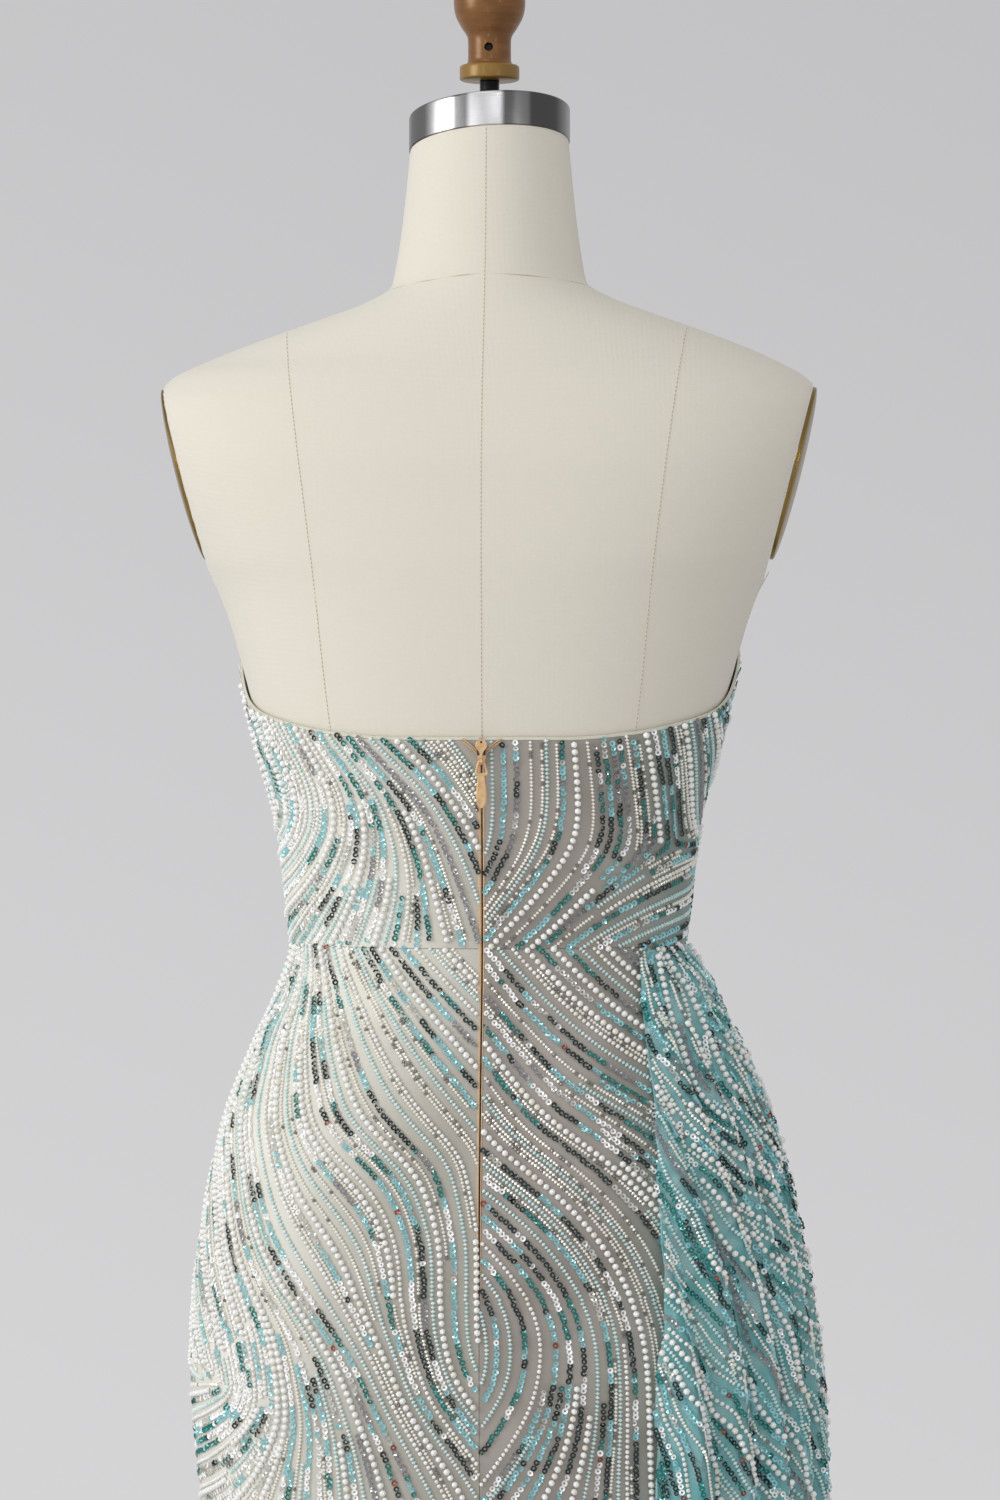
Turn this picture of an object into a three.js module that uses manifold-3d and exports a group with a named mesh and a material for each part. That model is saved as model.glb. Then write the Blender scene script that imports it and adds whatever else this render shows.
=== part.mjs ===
// A strapless beaded evening gown on a limbless dress form that stands on a round base.
// Millimetres, +Z up, origin on the floor under the pole. The gown's back, with its zip, faces -Y,
// its front faces +Y, and +X is the wearer's right, where the beaded side drape hangs.
import * as THREE from 'three';
import { mergeVertices } from 'three/addons/utils/BufferGeometryUtils.js';
import Module from 'manifold-3d';

const wasm = await Module();
wasm.setup();

// Driving heights
const HEM_Z = 12;
const FORM_BOTTOM_Z = 740;
const ZIP_END_Z = 850;
const ZIP_STOP_Z = 853; // where the back edges have parted for the zip
const WAIST_Z = 1060;
const BACK_NECK_Z = 1186;
const NECK_TOP_Z = 1557.5;

// Cloth and seams
const EASE = 1.5; // between the form and the inside of the cloth
const CLOTH = 1.4; // beaded tulle on its lining
const DRAPE_CLOTH = 1.2; // beaded tulle alone
const SEAM_GAP = 0.3;
const ZIP_GAP = 2.6; // between the two back edges, where the zip shows

const BACK = -Math.PI / 2;
const RIGHT = 0;
const FRONT = Math.PI / 2;
const LEFT = Math.PI;
const degrees = THREE.MathUtils.degToRad;

// Level sections of the dress form and, below it, of the hanging skirt. power 2 is an ellipse and
// more is squarer. lean moves a section towards the front, and tip is how steeply it slopes forward.
const FIGURE = [
  { z: 12, width: 262, back: 240, front: 222, power: 2.0, lean: 0, tip: 0 },
  { z: 130, width: 236, back: 208, front: 194, power: 2.0, lean: 0, tip: 0 },
  { z: 260, width: 205, back: 172, front: 164, power: 2.0, lean: 0, tip: 0 },
  { z: 390, width: 176, back: 140, front: 133, power: 2.0, lean: 0, tip: 0 },
  { z: 500, width: 161, back: 120, front: 115, power: 2.05, lean: 0, tip: 0 },
  { z: 600, width: 161, back: 115, front: 107, power: 2.1, lean: 0, tip: 0 },
  { z: 680, width: 168, back: 118, front: 104, power: 2.15, lean: 0, tip: 0 },
  { z: 740, width: 176.5, back: 122, front: 104, power: 2.2, lean: 0, tip: 0 },
  { z: 800, width: 180.5, back: 126, front: 106, power: 2.2, lean: 0, tip: 0 },
  { z: 850, width: 178, back: 126, front: 108, power: 2.2, lean: 0, tip: 0 },
  { z: 900, width: 171, back: 122, front: 108, power: 2.2, lean: 0, tip: 0 },
  { z: 950, width: 160, back: 112, front: 105, power: 2.2, lean: 0, tip: 0 },
  { z: 1000, width: 140.5, back: 98, front: 99, power: 2.15, lean: 0, tip: 0 },
  { z: 1030, width: 126.5, back: 88, front: 94, power: 2.1, lean: 0, tip: 0 },
  { z: 1060, width: 119, back: 83, front: 91, power: 2.1, lean: 0, tip: 0 },
  { z: 1087, width: 122, back: 83, front: 93, power: 2.15, lean: 0, tip: 0 },
  { z: 1136, width: 127.5, back: 87, front: 101, power: 2.25, lean: 0, tip: 0 },
  { z: 1186, width: 141, back: 92, front: 110, power: 2.35, lean: 0, tip: 0 },
  { z: 1223, width: 150, back: 96, front: 114, power: 2.35, lean: 0, tip: 0 },
  { z: 1273, width: 165, back: 101, front: 108, power: 2.35, lean: 0, tip: 0 },
  { z: 1300, width: 179, back: 103, front: 101, power: 2.45, lean: 0, tip: 0 },
  { z: 1350, width: 201, back: 102, front: 86, power: 2.55, lean: 0, tip: 0 },
  { z: 1390, width: 211, back: 93, front: 71, power: 2.4, lean: 0, tip: 0 },
  { z: 1409, width: 198, back: 86, front: 66, power: 2.2, lean: 1, tip: 0 },
  { z: 1421, width: 176, back: 79, front: 62, power: 2.0, lean: 2, tip: 0.01 },
  { z: 1434, width: 144, back: 73, front: 59, power: 2.0, lean: 3, tip: 0.02 },
  { z: 1446, width: 110, back: 68, front: 58, power: 2.0, lean: 4, tip: 0.03 },
  { z: 1458, width: 77, back: 63, front: 57, power: 2.0, lean: 5, tip: 0.05 },
  { z: 1468, width: 61, back: 58, front: 55, power: 2.0, lean: 6, tip: 0.07 },
  { z: 1482, width: 58, back: 54, front: 53, power: 2.0, lean: 8, tip: 0.1 },
  { z: 1510, width: 54, back: 51, front: 51, power: 2.0, lean: 10, tip: 0.14 },
  { z: 1557.5, width: 49.3, back: 48, front: 48, power: 2.0, lean: 14, tip: 0.17 },
];
const SIDE_SHARE = 0.4; // of a section's slope, that also lifts it on the wearer's right

// The bust rounds the front between these heights.
const BUST = { z: 1222, height: 34, angle: degrees(35), spread: degrees(21), out: 12 };

// Soft flutes of the skirt below the knee
const FLUTES = { count: 10, top: 470, depth: 14 };

// The neckline's height by the angle from the centre back to the centre front
const NECKLINE = [
  { turn: 0, z: BACK_NECK_Z },
  { turn: 20, z: BACK_NECK_Z },
  { turn: 36, z: 1189 },
  { turn: 55, z: 1197 },
  { turn: 68, z: 1203.5 },
  { turn: 78, z: 1211 },
  { turn: 87, z: 1221 },
  { turn: 95, z: 1231 },
  { turn: 110, z: 1246 },
  { turn: 130, z: 1258 },
  { turn: 150, z: 1262 },
  { turn: 168, z: 1250 },
  { turn: 180, z: 1241 },
];
const BINDING_HEIGHT = 3.2;
const BODICE_ROWS = 10;

// The side drape: how far it stands off the figure at the side, back and front, how deep its
// folds are and how far across they have swung, and the angles of its back and front edges.
const DRAPE = [
  { z: 12, side: 38, back: 32, front: 32, fold: 13, swing: 0.24, start: -57, end: 60 },
  { z: 130, side: 37, back: 30, front: 30, fold: 12.5, swing: 0.24, start: -57, end: 60 },
  { z: 260, side: 40, back: 30, front: 30, fold: 11.5, swing: 0.24, start: -57, end: 60 },
  { z: 390, side: 46, back: 32, front: 33, fold: 10.5, swing: 0.24, start: -57, end: 60 },
  { z: 500, side: 50, back: 31, front: 34, fold: 10, swing: 0.235, start: -57, end: 60 },
  { z: 600, side: 43, back: 26, front: 28, fold: 9, swing: 0.23, start: -57, end: 60 },
  { z: 731, side: 26, back: 17, front: 19, fold: 7.5, swing: 0.22, start: -57.6, end: 60 },
  { z: 778, side: 20.5, back: 14, front: 16, fold: 6.5, swing: 0.21, start: -57.3, end: 59 },
  { z: 850, side: 15, back: 11.5, front: 12, fold: 5.2, swing: 0.18, start: -56, end: 58 },
  { z: 901, side: 12.7, back: 10, front: 11, fold: 4.4, swing: 0.14, start: -54.4, end: 56 },
  { z: 932, side: 12, back: 9.5, front: 10, fold: 3.8, swing: 0.11, start: -53.6, end: 55 },
  { z: 963, side: 11.5, back: 9, front: 9.5, fold: 3.3, swing: 0.08, start: -52, end: 53 },
  { z: 994, side: 11.2, back: 8.6, front: 9, fold: 2.8, swing: 0.055, start: -49.8, end: 50 },
  { z: 1034, side: 11.5, back: 8, front: 8.5, fold: 1.8, swing: 0.02, start: -44.5, end: 45 },
  { z: 1049, side: 9, back: 6.6, front: 7, fold: 1.2, swing: 0.005, start: -42.8, end: 42 },
  { z: 1058, side: 4.6, back: 4.3, front: 4.3, fold: 0.6, swing: 0, start: -40.8, end: 40 },
];
const DRAPE_FOLDS = 12;
const DRAPE_TOP_Z = WAIST_Z - 2;

// Zip hardware
const ZIP_CHAIN = { width: 2.0, inside: 0.4, thick: 2.2 };
const SLIDER = { width: 5.6, top: 2.8, foot: 3.4, height: 12, thick: 2.2, z: 1177, standoff: 0.8 };
// The bail stands clear of the slider's face by its clearance, and low on it by its drop.
const BAIL = { inner: 1.35, outer: 2.15, width: 1.3, clearance: 0.35, drop: 3.6 };
// The tab has a head with an eye, a narrow neck and a drop-shaped tail.
const PULL = { length: 29, width: 6.2, head: 5.2, neck: 3.6, neckLength: 4, thick: 1.2 };
const PULL_EYE = { width: 3.4, height: 4.2, bar: 1.2 };


// Dress form hardware and stand
const CAP = { height: 21, out: 0.8, bevel: 1.5 };
const ROD = { radius: 6.2, height: 20 };
const KNOB_HOLE = { radius: 2.7, z: 19.5, drill: 60 };
const ARM_PLATE = { height: 110, depth: 80, rise: 6, rim: 1.6, raise: 3 };
const ARMHOLE = { topX: 199.5, topZ: 1400, lowX: 173.3, lowZ: 1297 };
const FORM_REACH = 500; // more than the form measures any way
const POLE_RADIUS = 15;
const BASE = { radius: 180, thick: 12, bevel: 4 };
const HUB = { radius: 36, topRadius: 26, shoulder: 14, height: 40 };

// A smooth function through the rows of a table, with no overshoot between them.
function curveThrough(table, along, key) {
  const rows = [...table].sort((a, b) => a[along] - b[along]);
  const x = rows.map((row) => row[along]);
  const y = rows.map((row) => row[key]);
  const step = x.slice(1).map((value, i) => (y[i + 1] - y[i]) / (value - x[i]));
  const slope = y.map((_, i) => {
    if (i === 0 || i === y.length - 1) return step[Math.min(i, step.length - 1)];
    if (step[i - 1] * step[i] <= 0) return 0;
    return (2 * step[i - 1] * step[i]) / (step[i - 1] + step[i]);
  });
  return (at) => {
    const last = x.length - 2;
    let i = 0;
    while (i < last && at > x[i + 1]) i += 1;
    const span = x[i + 1] - x[i];
    const u = THREE.MathUtils.clamp((at - x[i]) / span, 0, 1);
    const rise = y[i] * (1 + 2 * u) * (1 - u) ** 2 + y[i + 1] * (3 - 2 * u) * u ** 2;
    return rise + span * (slope[i] * u * (1 - u) ** 2 + slope[i + 1] * (u - 1) * u ** 2);
  };
}

function curvesThrough(table, along) {
  const keys = Object.keys(table[0]).filter((key) => key !== along);
  return Object.fromEntries(keys.map((key) => [key, curveThrough(table, along, key)]));
}

const figure = curvesThrough(FIGURE, 'z');
const drape = curvesThrough(DRAPE, 'z');
const neckline = curvesThrough(NECKLINE, 'turn').z;

// The angle from the centre back, from 0 to 180 degrees, on either side of the body.
function turnOf(angle) {
  return THREE.MathUtils.radToDeg(Math.acos(THREE.MathUtils.clamp(-Math.sin(angle), -1, 1)));
}

// A point on the section at height z, pushed out by an amount at the side, back and front.
function sectionPoint(angle, z, side, back, front) {
  const c = Math.cos(angle);
  const s = Math.sin(angle);
  const power = figure.power(z);
  const round = (Math.abs(c) ** power + Math.abs(s) ** power) ** (-1 / power);
  const x = (figure.width(z) + side) * c * round;
  const y = (s < 0 ? figure.back(z) + back : figure.front(z) + front) * s * round;
  return new THREE.Vector3(x, y, z);
}

function bustRise(angle, z) {
  const offCentre = Math.abs(angle - FRONT) - BUST.angle;
  return BUST.out * Math.exp(-(((z - BUST.z) / BUST.height) ** 2) - (offCentre / BUST.spread) ** 2);
}

function fluteRise(angle, z) {
  const share = THREE.MathUtils.smoothstep(FLUTES.top - z, 0, FLUTES.top - HEM_Z);
  return FLUTES.depth * share * Math.cos(FLUTES.count * angle);
}

// The outside of the form and, below it, the inside of the skirt.
function figurePoint(angle, z) {
  const out = bustRise(angle, z) + fluteRise(angle, z);
  const point = sectionPoint(angle, z, out, out, out);
  const yLean = point.y + figure.lean(z);
  const drop = figure.tip(z) * (yLean - SIDE_SHARE * point.x);
  return new THREE.Vector3(point.x, yLean, z - drop);
}

function drapeEdges(z) {
  return { start: degrees(drape.start(z)), end: degrees(drape.end(z)) };
}

// The inside of the side drape, which falls in folds from the waist seam.
function drapePoint(angle, z) {
  const { start, end } = drapeEdges(z);
  const across = (angle - start) / (end - start) - drape.swing(z);
  const fold = drape.fold(z) * Math.cos(2 * Math.PI * DRAPE_FOLDS * across);
  const flute = FLUTES.depth * THREE.MathUtils.smoothstep(FLUTES.top - z, 0, FLUTES.top - HEM_Z);
  const side = drape.side(z) + fold + flute * 0.5;
  const back = drape.back(z) + fold + flute * 0.5;
  const front = drape.front(z) + fold + flute * 0.5;
  return sectionPoint(angle, z, side, back, front);
}

// A surface's point moved out along its own normal.
function pushedOut(surface, angle, z, out) {
  const d = 1e-3;
  const across = surface(angle + d, z).sub(surface(angle - d, z));
  const up = surface(angle, z + 0.5).sub(surface(angle, z - 0.5));
  return surface(angle, z).add(across.cross(up).normalize().multiplyScalar(out));
}

// The angle that a length along the cloth takes at this place.
function angleOf(length, surface, angle, z) {
  const d = 1e-3;
  return (length * 2 * d) / surface(angle + d, z).distanceTo(surface(angle - d, z));
}

function geometryOf(points, faces) {
  const geometry = new THREE.BufferGeometry().setFromPoints(points);
  geometry.setIndex(faces);
  return geometry;
}

// Heights from one table row to the next, with even steps between them no longer than most.
function heightsBetween(table, low, high, most) {
  const inner = table.map((row) => row.z).filter((z) => z > low && z < high);
  const heights = [low, ...inner.sort((a, b) => a - b), high];
  return heights.flatMap((z, i) => {
    if (i === heights.length - 1) return [z];
    const steps = Math.ceil((heights[i + 1] - z) / most);
    return Array.from({ length: steps }, (_, k) => z + ((heights[i + 1] - z) * k) / steps);
  });
}

function evenSteps(low, high, count) {
  return Array.from({ length: count + 1 }, (_, j) => THREE.MathUtils.lerp(low, high, j / count));
}

// A closed wall of cloth. start and end give its side edges' angles at a height, and heights gives
// the heights of its rows at an angle, from its lower to its upper edge.
function clothWall({ surface, start, end, heights, inside, thick, columns }) {
  const rows = heights(start(WAIST_Z)).length - 1;
  const points = [];
  const index = (layer, i, j) => (layer * (columns + 1) + i) * (rows + 1) + j;
  for (const out of [inside, inside + thick])
    for (let i = 0; i <= columns; i += 1)
      for (let j = 0; j <= rows; j += 1) {
        const rough = THREE.MathUtils.lerp(start(WAIST_Z), end(WAIST_Z), i / columns);
        const z = heights(rough)[j];
        const angle = THREE.MathUtils.lerp(start(z), end(z), i / columns);
        points.push(pushedOut(surface, angle, z, out));
      }
  const faces = [];
  const quad = (a, b, c, d) => faces.push(a, b, c, a, c, d);
  for (let i = 0; i < columns; i += 1)
    for (let j = 0; j < rows; j += 1) {
      quad(index(1, i, j), index(1, i + 1, j), index(1, i + 1, j + 1), index(1, i, j + 1));
      quad(index(0, i, j), index(0, i, j + 1), index(0, i + 1, j + 1), index(0, i + 1, j));
    }
  for (let i = 0; i < columns; i += 1) {
    quad(index(0, i, 0), index(0, i + 1, 0), index(1, i + 1, 0), index(1, i, 0));
    quad(index(1, i, rows), index(1, i + 1, rows), index(0, i + 1, rows), index(0, i, rows));
  }
  for (let j = 0; j < rows; j += 1) {
    quad(index(0, 0, j), index(1, 0, j), index(1, 0, j + 1), index(0, 0, j + 1));
    quad(index(1, columns, j), index(0, columns, j), index(0, columns, j + 1), index(1, columns, j + 1));
  }
  return geometryOf(points, faces);
}

// A closed solid through a stack of rings of points, from the lowest to the highest.
function ringStack(rings) {
  const count = rings[0].length;
  const points = rings.flat();
  const faces = [];
  rings.slice(1).forEach((_, r) => {
    for (let i = 0; i < count; i += 1) {
      const a = r * count + i;
      const b = r * count + ((i + 1) % count);
      faces.push(a, b, b + count, a, b + count, a + count);
    }
  });
  [0, rings.length - 1].forEach((r) => {
    const centre = points.length;
    const middle = rings[r].reduce((sum, p) => sum.add(p), new THREE.Vector3());
    points.push(middle.divideScalar(count));
    for (let i = 0; i < count; i += 1) {
      const a = r * count + i;
      const b = r * count + ((i + 1) % count);
      faces.push(...(r === 0 ? [centre, b, a] : [centre, a, b]));
    }
  });
  return geometryOf(points, faces);
}

function ring(surface, z, out, count) {
  return Array.from({ length: count }, (_, i) => pushedOut(surface, (2 * Math.PI * i) / count, z, out));
}

function solidOf(geometry) {
  const bare = geometry.clone();
  bare.deleteAttribute('normal');
  bare.deleteAttribute('uv');
  const merged = mergeVertices(bare, 1e-4);
  return new wasm.Manifold(
    new wasm.Mesh({
      numProp: 3,
      vertProperties: new Float32Array(merged.attributes.position.array),
      triVerts: new Uint32Array(merged.index.array),
    }),
  );
}

function geometryOfSolid(solid) {
  const { vertProperties, triVerts } = solid.getMesh();
  const geometry = new THREE.BufferGeometry();
  geometry.setAttribute('position', new THREE.BufferAttribute(vertProperties, 3));
  geometry.setIndex(new THREE.BufferAttribute(triVerts, 1));
  return geometry;
}

// A turned shape about +Z from pairs of radius and height, from the axis back to the axis.
function turned(profile, segments) {
  const outline = profile.map(([radius, height]) => new THREE.Vector2(radius, height));
  return new THREE.LatheGeometry(outline, segments).rotateX(Math.PI / 2);
}

const material = {
  tulle: new THREE.MeshStandardMaterial({ color: 0xa9a79d, roughness: 0.6 }),
  aquaTulle: new THREE.MeshStandardMaterial({ color: 0x8fb5b2, roughness: 0.55 }),
  binding: new THREE.MeshStandardMaterial({ color: 0xd9dbc9, roughness: 0.6 }),
  zip: new THREE.MeshStandardMaterial({ color: 0xc39a6b, roughness: 0.5 }),
  gilt: new THREE.MeshStandardMaterial({ color: 0xd9b27c, roughness: 0.35, metalness: 0.4 }),
  linen: new THREE.MeshStandardMaterial({ color: 0xe6e1d2, roughness: 0.85 }),
  steel: new THREE.MeshStandardMaterial({ color: 0xb8b8b8, roughness: 0.3, metalness: 1 }),
  brass: new THREE.MeshStandardMaterial({ color: 0xb58a3a, roughness: 0.35, metalness: 1 }),
  bronze: new THREE.MeshStandardMaterial({ color: 0x76502f, roughness: 0.4, metalness: 0.3 }),
  black: new THREE.MeshStandardMaterial({ color: 0x1c1c1e, roughness: 0.45, metalness: 0.6 }),
};

const gownOnForm = new THREE.Group();

function add(name, geometry, finish, parent = gownOnForm) {
  const mesh = new THREE.Mesh(geometry, finish);
  mesh.name = name;
  parent.add(mesh);
  return mesh;
}

// The two back edges leave room for the zip down to its end and then meet in a seam.
function backEdge(side) {
  return (z) => {
    const parted = THREE.MathUtils.smoothstep(z, ZIP_END_Z, ZIP_STOP_Z);
    const gap = THREE.MathUtils.lerp(SEAM_GAP, ZIP_GAP, parted);
    return BACK + side * angleOf(gap / 2, figurePoint, BACK, z);
  };
}

function sideEdge(seam, side) {
  return (z) => seam + side * angleOf(SEAM_GAP / 2, figurePoint, seam, z);
}

const panels = {
  back_left: { start: sideEdge(-LEFT, 1), end: backEdge(-1), columns: 15 },
  back_right: { start: backEdge(1), end: sideEdge(RIGHT, -1), columns: 15 },
  front: { start: sideEdge(RIGHT, 1), end: sideEdge(LEFT, -1), columns: 30 },
};

const wall = { surface: figurePoint, inside: EASE, thick: CLOTH };
const topEdge = (angle) => neckline(turnOf(angle));

const skirtRows = [...FIGURE, { z: ZIP_END_Z }, { z: ZIP_STOP_Z }];
const skirtHeights = heightsBetween(skirtRows, HEM_Z, WAIST_Z - SEAM_GAP / 2, 130);

for (const [name, panel] of Object.entries(panels)) {
  const bodice = {
    heights: (angle) => evenSteps(WAIST_Z + SEAM_GAP / 2, topEdge(angle), BODICE_ROWS),
    columns: panel.columns * 0.8,
  };
  add(`bodice_${name}`, clothWall({ ...wall, ...panel, ...bodice }), material.tulle);
  const skirt = { heights: () => skirtHeights };
  add(`skirt_${name}`, clothWall({ ...wall, ...panel, ...skirt }), material.tulle);
}

const binding = {
  heights: (angle) => [topEdge(angle) + SEAM_GAP, topEdge(angle) + SEAM_GAP + BINDING_HEIGHT],
  start: (z) => backEdge(1)(z),
  end: (z) => backEdge(-1)(z) + 2 * Math.PI,
  columns: 60,
};
add('neckline_binding', clothWall({ ...wall, ...binding }), material.binding);

const sideDrape = {
  surface: drapePoint,
  inside: 0,
  thick: DRAPE_CLOTH,
  start: (z) => drapeEdges(z).start,
  end: (z) => drapeEdges(z).end,
  heights: () => heightsBetween(DRAPE, HEM_Z, DRAPE_TOP_Z, 131),
  columns: 5 * DRAPE_FOLDS,
};
add('side_drape', clothWall(sideDrape), material.aquaTulle);

// The zip's closed chain fills the gap between the back edges.
const chainHalf = (z) => angleOf(ZIP_CHAIN.width / 2, figurePoint, BACK, z);
const chain = {
  ...wall,
  inside: ZIP_CHAIN.inside,
  thick: ZIP_CHAIN.thick,
  start: (z) => BACK - chainHalf(z),
  end: (z) => BACK + chainHalf(z),
  heights: () => evenSteps(ZIP_STOP_Z + SEAM_GAP, BACK_NECK_Z - 1, 20),
  columns: 1,
};
add('zip_chain', clothWall(chain), material.zip);

// The slider rides on the chain, with a bail that holds the pull tab.
const chainFace = pushedOut(figurePoint, BACK, SLIDER.z, EASE + CLOTH + SLIDER.standoff).y;
const sliderFace = chainFace - SLIDER.thick;
const pivotY = sliderFace - BAIL.inner - BAIL.clearance;
const pivot = new THREE.Vector3(0, pivotY, SLIDER.z - BAIL.drop);

function sliderGeometry() {
  const half = SLIDER.width / 2;
  const end = SLIDER.height / 2;
  const outline = new THREE.Shape();
  outline.moveTo(-SLIDER.foot / 2, -end);
  outline.lineTo(SLIDER.foot / 2, -end);
  outline.lineTo(half, 0);
  outline.quadraticCurveTo(half, end, SLIDER.top / 2, end);
  outline.lineTo(-SLIDER.top / 2, end);
  outline.quadraticCurveTo(-half, end, -half, 0);
  const body = new THREE.ExtrudeGeometry(outline, {
    depth: SLIDER.thick,
    bevelEnabled: false,
    curveSegments: 5,
  });
  body.rotateX(Math.PI / 2).translate(0, chainFace, SLIDER.z);
  const loop = new THREE.Shape().absarc(0, 0, BAIL.outer, 0, 2 * Math.PI);
  loop.holes.push(new THREE.Path().absarc(0, 0, BAIL.inner, 0, 2 * Math.PI, true));
  const bail = new THREE.ExtrudeGeometry(loop, {
    depth: BAIL.width,
    bevelEnabled: false,
    curveSegments: 10,
  });
  bail.translate(0, 0, -BAIL.width / 2).rotateY(Math.PI / 2).translate(pivot.x, pivot.y, pivot.z);
  return geometryOfSolid(solidOf(body).add(solidOf(bail)));
}
add('zip_slider', sliderGeometry(), material.gilt);

// The pull tab hangs from the bail by the bar above its eye.
function pullGeometry() {
  const top = PULL_EYE.bar / 2;
  const headFoot = -PULL_EYE.height - PULL_EYE.bar;
  const neckFoot = headFoot - PULL.neckLength;
  const tail = top - PULL.length;
  const bulge = neckFoot * 0.3 + tail * 0.7;
  const right = [
    [PULL.head / 2, headFoot],
    [PULL.neck / 2, (headFoot + neckFoot) / 2],
    [PULL.neck / 2, neckFoot],
    [PULL.width / 2, bulge],
    [PULL.width / 4, tail + PULL.width / 8],
  ].map(([x, z]) => new THREE.Vector2(x, z));
  const left = right.map(({ x, y }) => new THREE.Vector2(-x, y)).reverse();
  const outline = new THREE.Shape();
  outline.moveTo(-PULL.head / 2, top);
  outline.lineTo(PULL.head / 2, top);
  outline.lineTo(PULL.head / 2, headFoot);
  outline.splineThru([...right.slice(1), new THREE.Vector2(0, tail), ...left.slice(0, -1)]);
  outline.lineTo(-PULL.head / 2, headFoot);
  const eye = new THREE.Path();
  eye.moveTo(-PULL_EYE.width / 2, -PULL_EYE.bar / 2);
  eye.lineTo(-PULL_EYE.width / 2, -PULL_EYE.height);
  eye.lineTo(PULL_EYE.width / 2, -PULL_EYE.height);
  eye.lineTo(PULL_EYE.width / 2, -PULL_EYE.bar / 2);
  outline.holes.push(eye);
  const tab = new THREE.ExtrudeGeometry(outline, {
    depth: PULL.thick,
    bevelEnabled: false,
    curveSegments: 3,
  });
  return tab.translate(0, 0, -PULL.thick / 2).rotateX(Math.PI / 2);
}
add('zip_pull', pullGeometry(), material.gilt).position.copy(pivot);

// The form's torso is cut flat at the armholes, where the arm plates lie.
const armholeTilt = Math.atan2(ARMHOLE.topX - ARMHOLE.lowX, ARMHOLE.topZ - ARMHOLE.lowZ);
const armholeX = (ARMHOLE.topX + ARMHOLE.lowX) / 2;
const armholeZ = (ARMHOLE.topZ + ARMHOLE.lowZ) / 2;

function armholeGroup(side) {
  const group = new THREE.Group();
  group.position.set(side * armholeX, 0, armholeZ);
  group.rotation.y = side * armholeTilt + (side > 0 ? 0 : Math.PI);
  group.updateMatrix();
  return group;
}

function torsoGeometry() {
  const levels = heightsBetween(FIGURE, FORM_BOTTOM_Z, NECK_TOP_Z, 25);
  const stack = ringStack(levels.map((z) => ring(figurePoint, z, 0, 32)));
  let torso = solidOf(stack);
  for (const side of [1, -1]) {
    const beyond = new THREE.BoxGeometry(FORM_REACH, FORM_REACH, FORM_REACH);
    beyond.translate(FORM_REACH / 2, 0, 0).applyMatrix4(armholeGroup(side).matrix);
    torso = torso.subtract(solidOf(beyond));
  }
  return geometryOfSolid(torso);
}
add('form_torso', torsoGeometry(), material.linen);

function armPlate(side) {
  const { height, depth, rise, rim, raise } = ARM_PLATE;
  const dome = evenSteps(0, Math.PI / 2, 4).map((t) => [Math.cos(t) / 2, rim + (rise - rim) * Math.sin(t)]);
  const plate = turned([[0, 0], [0.5, 0], ...dome.slice(0, -1), [0, rise]], 32);
  return plate.scale(height, depth, 1).rotateY(Math.PI / 2).translate(SEAM_GAP, 0, side * raise);
}
for (const [name, side] of [['form_plate_right', 1], ['form_plate_left', -1]]) {
  const group = armholeGroup(side);
  add(name, armPlate(side), material.brass, group);
  gownOnForm.add(group);
}

// The neck cap is a steel disc on the sloping top of the neck, with the rod and the knob above it.
function capGeometry() {
  const levels = [
    { rise: SEAM_GAP, out: CAP.out },
    { rise: SEAM_GAP + CAP.height - CAP.bevel, out: CAP.out },
    { rise: SEAM_GAP + CAP.height, out: CAP.out - CAP.bevel },
  ];
  const lifted = (rise) => (angle, z) => figurePoint(angle, z).add(new THREE.Vector3(0, 0, rise));
  return ringStack(levels.map(({ rise, out }) => ring(lifted(rise), NECK_TOP_Z, out, 36)));
}
add('form_neck_cap', capGeometry(), material.steel);

const neckY = figure.lean(NECK_TOP_Z);
const neckTip = figure.tip(NECK_TOP_Z);
const rodFoot = NECK_TOP_Z + SEAM_GAP + CAP.height - neckTip * neckY;
const rodSeat = rodFoot + neckTip * ROD.radius * (1 + SIDE_SHARE) + SEAM_GAP;
const rodTop = rodFoot + ROD.height;

add(
  'form_rod',
  new THREE.CylinderGeometry(ROD.radius, ROD.radius, rodTop - rodSeat, 20)
    .rotateX(Math.PI / 2)
    .translate(0, neckY, (rodTop + rodSeat) / 2),
  material.black,
);

// Radius and height above the knob's underside
const KNOB_PROFILE = [
  [0, 0],
  [18, 0],
  [18.6, 1.5],
  [18.6, 8],
  [17.6, 9.3],
  [13.6, 10.5],
  [13.6, 27],
  [17.4, 33],
  [21, 40],
  [22.3, 48],
  [21.4, 55],
  [18.6, 61],
  [13.5, 66],
  [7, 69.3],
  [0, 70.5],
];

function knobGeometry() {
  const body = solidOf(turned(KNOB_PROFILE, 24));
  const drill = new THREE.CylinderGeometry(KNOB_HOLE.radius, KNOB_HOLE.radius, KNOB_HOLE.drill, 16);
  const holed = body.subtract(solidOf(drill.translate(0, 0, KNOB_HOLE.z)));
  return geometryOfSolid(holed).translate(0, neckY, rodTop + SEAM_GAP);
}
add('form_knob', knobGeometry(), material.bronze);

const BASE_PROFILE = [
  [0, 0],
  [BASE.radius, 0],
  [BASE.radius, BASE.thick - BASE.bevel],
  [BASE.radius - BASE.bevel, BASE.thick],
  [0, BASE.thick],
];
add('stand_base', turned(BASE_PROFILE, 40), material.black);

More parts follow.
